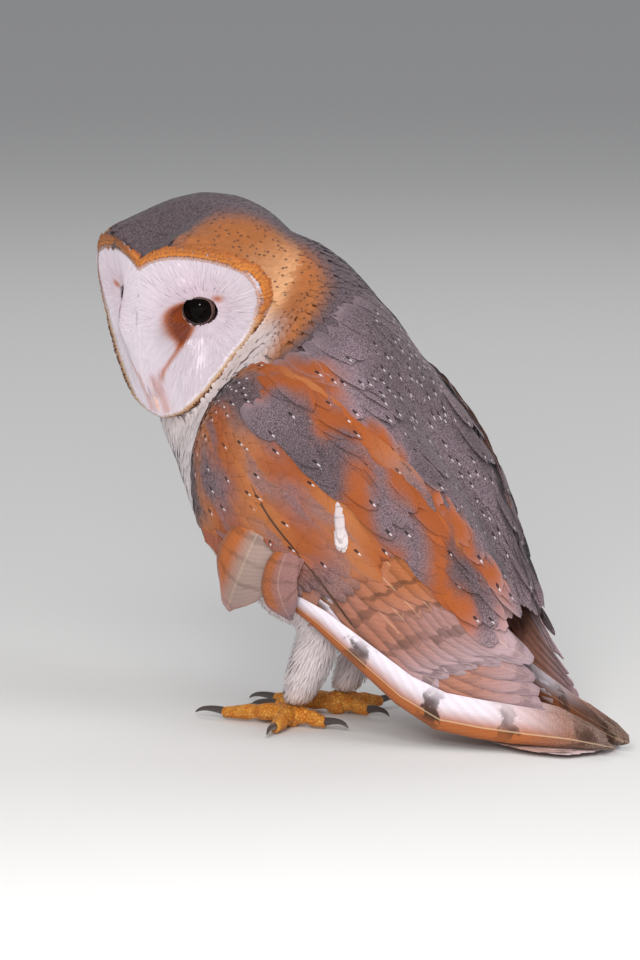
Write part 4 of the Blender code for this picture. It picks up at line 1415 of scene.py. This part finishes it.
lids = {
    "halfWidth": 7.1, "halfHeight": (6.2, 7.0), "squareness": (2.5, 2.1),
    "rim": ((-0.3, -1.2), (0.0, 0.2), (0.3, 0.5), (0.7, 0.5), (1.2, 0.1), (1.9, -0.8), (2.8, -2.4)),
    "dark": rgba(50, 34, 33), "pale": rgba(112, 80, 76),
}
eyeShine = {"Roughness": 0.04, "Specular IOR Level": 0.06, "Base Color": rgba(10, 7, 6)}
eyeMaterial = newMaterial("eye", eyeShine)[0]
lidMaterial, start = newMaterial("lid", {"Roughness": 0.5})
feed(lidMaterial, colour=start.place().noise(500).mixed(lids["dark"], lids["pale"]))
for name, side in hands:
    look = eyeLook * (side, 1, 1)
    right = np.array((eyeLook[1], -side * eyeLook[0], 0)) * side
    upward = np.array((0, 0, 1.0))
    centre = eyeCentre * (side, 1, 1)
    turn = circle(48)
    ring = np.outer(np.cos(turn), right) + np.outer(np.sin(turn), upward)
    rings = [fromHead(centre + eyes["radius"] * (math.cos(polar) * look + math.sin(polar) * ring))
             for polar in np.linspace(0.02, np.pi - 0.02, 30)]
    lathe("eyeball_" + name, rings, eyeMaterial, ["eye_" + name])
    # the rim of the lids: a flat-topped opening that rests on the ball
    rings = []
    for reach, lift in lids["rim"]:
        tall, power = (np.where(np.sin(turn) > 0, *lids[key]) for key in ("halfHeight", "squareness"))
        full = (np.abs(np.cos(turn)) ** power + np.abs(np.sin(turn)) ** power) ** (-1 / power)
        x = (lids["halfWidth"] + reach) * np.cos(turn) * full
        y = (tall + reach) * np.sin(turn) * full
        out = np.minimum(np.hypot(x, y), eyes["radius"] * 0.93)
        rise = np.sqrt(eyes["radius"] ** 2 - out**2) + lift
        rings.append(fromHead(centre + x[:, None] * right + y[:, None] * upward + rise[:, None] * look))
    lathe("lids_" + name, rings, lidMaterial)
print("eyes done")


# bill

billShapes = {
    "bill_upper": {"reach": 29, "size": 6.5, "back": 2.5},
    "bill_lower": {"reach": 29 * 0.72, "size": 6.5 * 0.62, "back": 8.5},
}
billLook = {
    "dark": rgba(222, 180, 170), "pale": rgba(236, 206, 196),
    "shine": {"Roughness": 0.35, "Coat Weight": 0.3},
}
billMaterial, start = newMaterial("bill", billLook["shine"])
patches = start.place().noise(300).between(0.3, 0.7)
feed(billMaterial, colour=patches.mixed(billLook["dark"], billLook["pale"]))
for name, bill in billShapes.items():
    rings, turn = [], circle(24)
    for share in np.linspace(0, 1, 24):
        size = bill["size"] * (1 - share**1.8) ** 0.7 + 0.35
        side = size * 0.6 * np.sin(turn) * (1 - 0.35 * np.cos(turn))
        ahead = -bill["back"] + 2.4 * share + size * np.cos(turn)
        rings.append(fromHead(np.stack((side, ahead, -13 - bill["reach"] * share + 0 * turn), 1)))
    lathe(name + "_horn", rings, billMaterial, [name])
print("bill done")


# feet and claws

toeLook = {
    "dark": rgba(206, 120, 34), "pale": rgba(228, 158, 66), "seam": rgba(140, 76, 28), "scales": 620,
    "grown": {"swell": 0.0, "voxel": 0.7, "smoothing": 2},
    "shine": {"Roughness": 0.55, "Specular IOR Level": 0.4},
}
toeMaterial, start = newMaterial("toes", toeLook["shine"])
place = start.place()
links = {"Vector": place, "Scale": toeLook["scales"]}
cells = start.node("ShaderNodeTexVoronoi", {"feature": "DISTANCE_TO_EDGE"}, links)
toeColour = place.noise(260).between(0.3, 0.7).mixed(toeLook["dark"], toeLook["pale"])
toeColour = (cells.between(0.12, 0.0) * 0.6).mixed(toeColour, toeLook["seam"])
feed(toeMaterial, colour=toeColour, normal=cells.between(0.0, 0.16).bump(0.8, 0.4))
for name in ("left", "right"):
    points, faces = grown(["foot_" + name], **toeLook["grown"])
    points[:, 2] = np.maximum(points[:, 2], 0.0)
    placePiece(meshPiece("toes_" + name, points, faces), toeMaterial, ["foot_" + name])

claws = {
    "feet": {"left": (22, -2), "right": (-22, -5)},
    "radius": 2.1,
    "curl": 1.25,
    "toes": {
        "inner": {"angle": -24, "toe": 31, "length": 15},
        "middle": {"angle": 3, "toe": 39, "length": 19},
        "outer": {"angle": 108, "toe": 27, "length": 14},
        "hind": {"angle": 184, "toe": 20, "length": 14},
    },
}
clawShine = {"Roughness": 0.25, "Coat Weight": 0.5, "Base Color": rgba(70, 60, 57)}
clawMaterial = newMaterial("claw", clawShine)[0]
startShare = 0.93
startRise = 4.5 * (1.3 - 0.55 * startShare) + 1.5 * math.sin(math.pi * startShare) * (1 - startShare)


def clawRings(side, foot, claw):
    turn, ring = math.radians(claw["angle"]), circle(14)
    heading = np.array((side * math.sin(turn), -math.cos(turn), 0))
    sideways = np.array((-heading[1], heading[0], 0))
    root = np.array((*foot, 0)) + heading * claw["toe"] * startShare + (0, 0, startRise)
    for share in np.linspace(0, 1, 16):
        radius = claws["radius"] * (1 - share) ** 0.75 + 0.2
        out = claw["length"] * math.sin(share * claws["curl"]) / math.sin(claws["curl"])
        fall = 1.6 * math.sin(math.pi * share * 0.8) - (startRise - 0.9) * share**1.9
        middle = root + heading * out + (0, 0, fall)
        upward = unit(np.array((0, 0, 1.0)) + heading * share)
        wide = 0.8 * np.outer(np.sin(ring), sideways)
        yield middle + radius * (wide + np.outer(np.cos(ring), upward))


for name, side in hands:
    for toe, claw in claws["toes"].items():
        rings = list(clawRings(side, claws["feet"][name], claw))
        lathe(f"talon_{name}_{toe}", rings, clawMaterial, [f"claw_{name}_{toe}"])
print("feet done")


# floor, light and camera

floorMaterial = newMaterial("floor", {"Roughness": 0.9, "Base Color": (0.8, 0.79, 0.78, 1)})[0]
floorHalf = 20000
corners = np.array([(x, y, 0.0) for y in (-floorHalf, floorHalf) for x in (-floorHalf, floorHalf)])
floor = meshPiece("floor", corners, gridFaces(1, 2, 2))
floor.location.z = -0.0002
floor.data.materials.append(floorMaterial)

# degrees round and up, metres away and across, watts
lights = {
    "key": {"from": (122, 32), "away": 1.6, "size": 0.8, "power": 12.5, "colour": (1, 0.985, 0.96)},
    "fill": {"from": (172, 18), "away": 1.8, "size": 1.2, "power": 6, "colour": (0.95, 0.97, 1)},
    "top": {"from": (170, 68), "away": 1.6, "size": 1.2, "power": 5, "colour": (1, 1, 1)},
    "back": {"from": (300, 45), "away": 2.2, "size": 1.6, "power": 10, "colour": (1, 1, 1)},
    "catch": {"from": (122, 14), "away": 1.5, "size": 0.24, "power": 8, "colour": (1, 1, 1), "glossy": True},
}
for name, look in lights.items():
    light = bpy.data.lights.new(name, "AREA")
    light.shape, light.size, light.energy, light.color = "DISK", look["size"], look["power"], look["colour"]
    made = bpy.data.objects.new(name, light)
    turn, rise = (math.radians(degrees) for degrees in look["from"])
    away = Vector((math.sin(turn) * math.cos(rise), -math.cos(turn) * math.cos(rise), math.sin(rise)))
    made.location = Vector(home) + Vector((0, 0, 0.13)) + away * look["away"]
    made.rotation_euler = away.to_track_quat("Z", "Y").to_euler()
    made.visible_glossy = look.get("glossy", False)
    bpy.context.scene.collection.objects.link(made)

room = {"Color": (0.9, 0.92, 0.95, 1), "Strength": 0.32}
world = bpy.data.worlds.new("world")
world.use_nodes = True
for key, value in room.items():
    world.node_tree.nodes["Background"].inputs[key].default_value = value
bpy.context.scene.world = world
bpy.context.scene.view_settings.view_transform = "Standard"

view = {"from": (125, 8), "away": 4.0, "height": 0.4704, "centreUp": 0.1176}
turn, rise = (math.radians(degrees) for degrees in view["from"])
forward = Vector((-math.sin(turn) * math.cos(rise), math.cos(turn) * math.cos(rise), -math.sin(rise)))
rightward = Vector((math.cos(turn), math.sin(turn), 0))
upward = rightward.cross(forward)
camera = bpy.data.objects.new("camera", bpy.data.cameras.new("camera"))
camera.data.sensor_width = 36
camera.data.lens = camera.data.sensor_width * view["away"] / view["height"]
turned = Matrix((rightward, upward, -forward)).transposed().to_4x4()
turned.translation = Vector(home) + upward * view["centreUp"] - forward * view["away"]
camera.matrix_world = turned
bpy.context.scene.collection.objects.link(camera)
bpy.context.scene.camera = camera
print("lights and camera done")
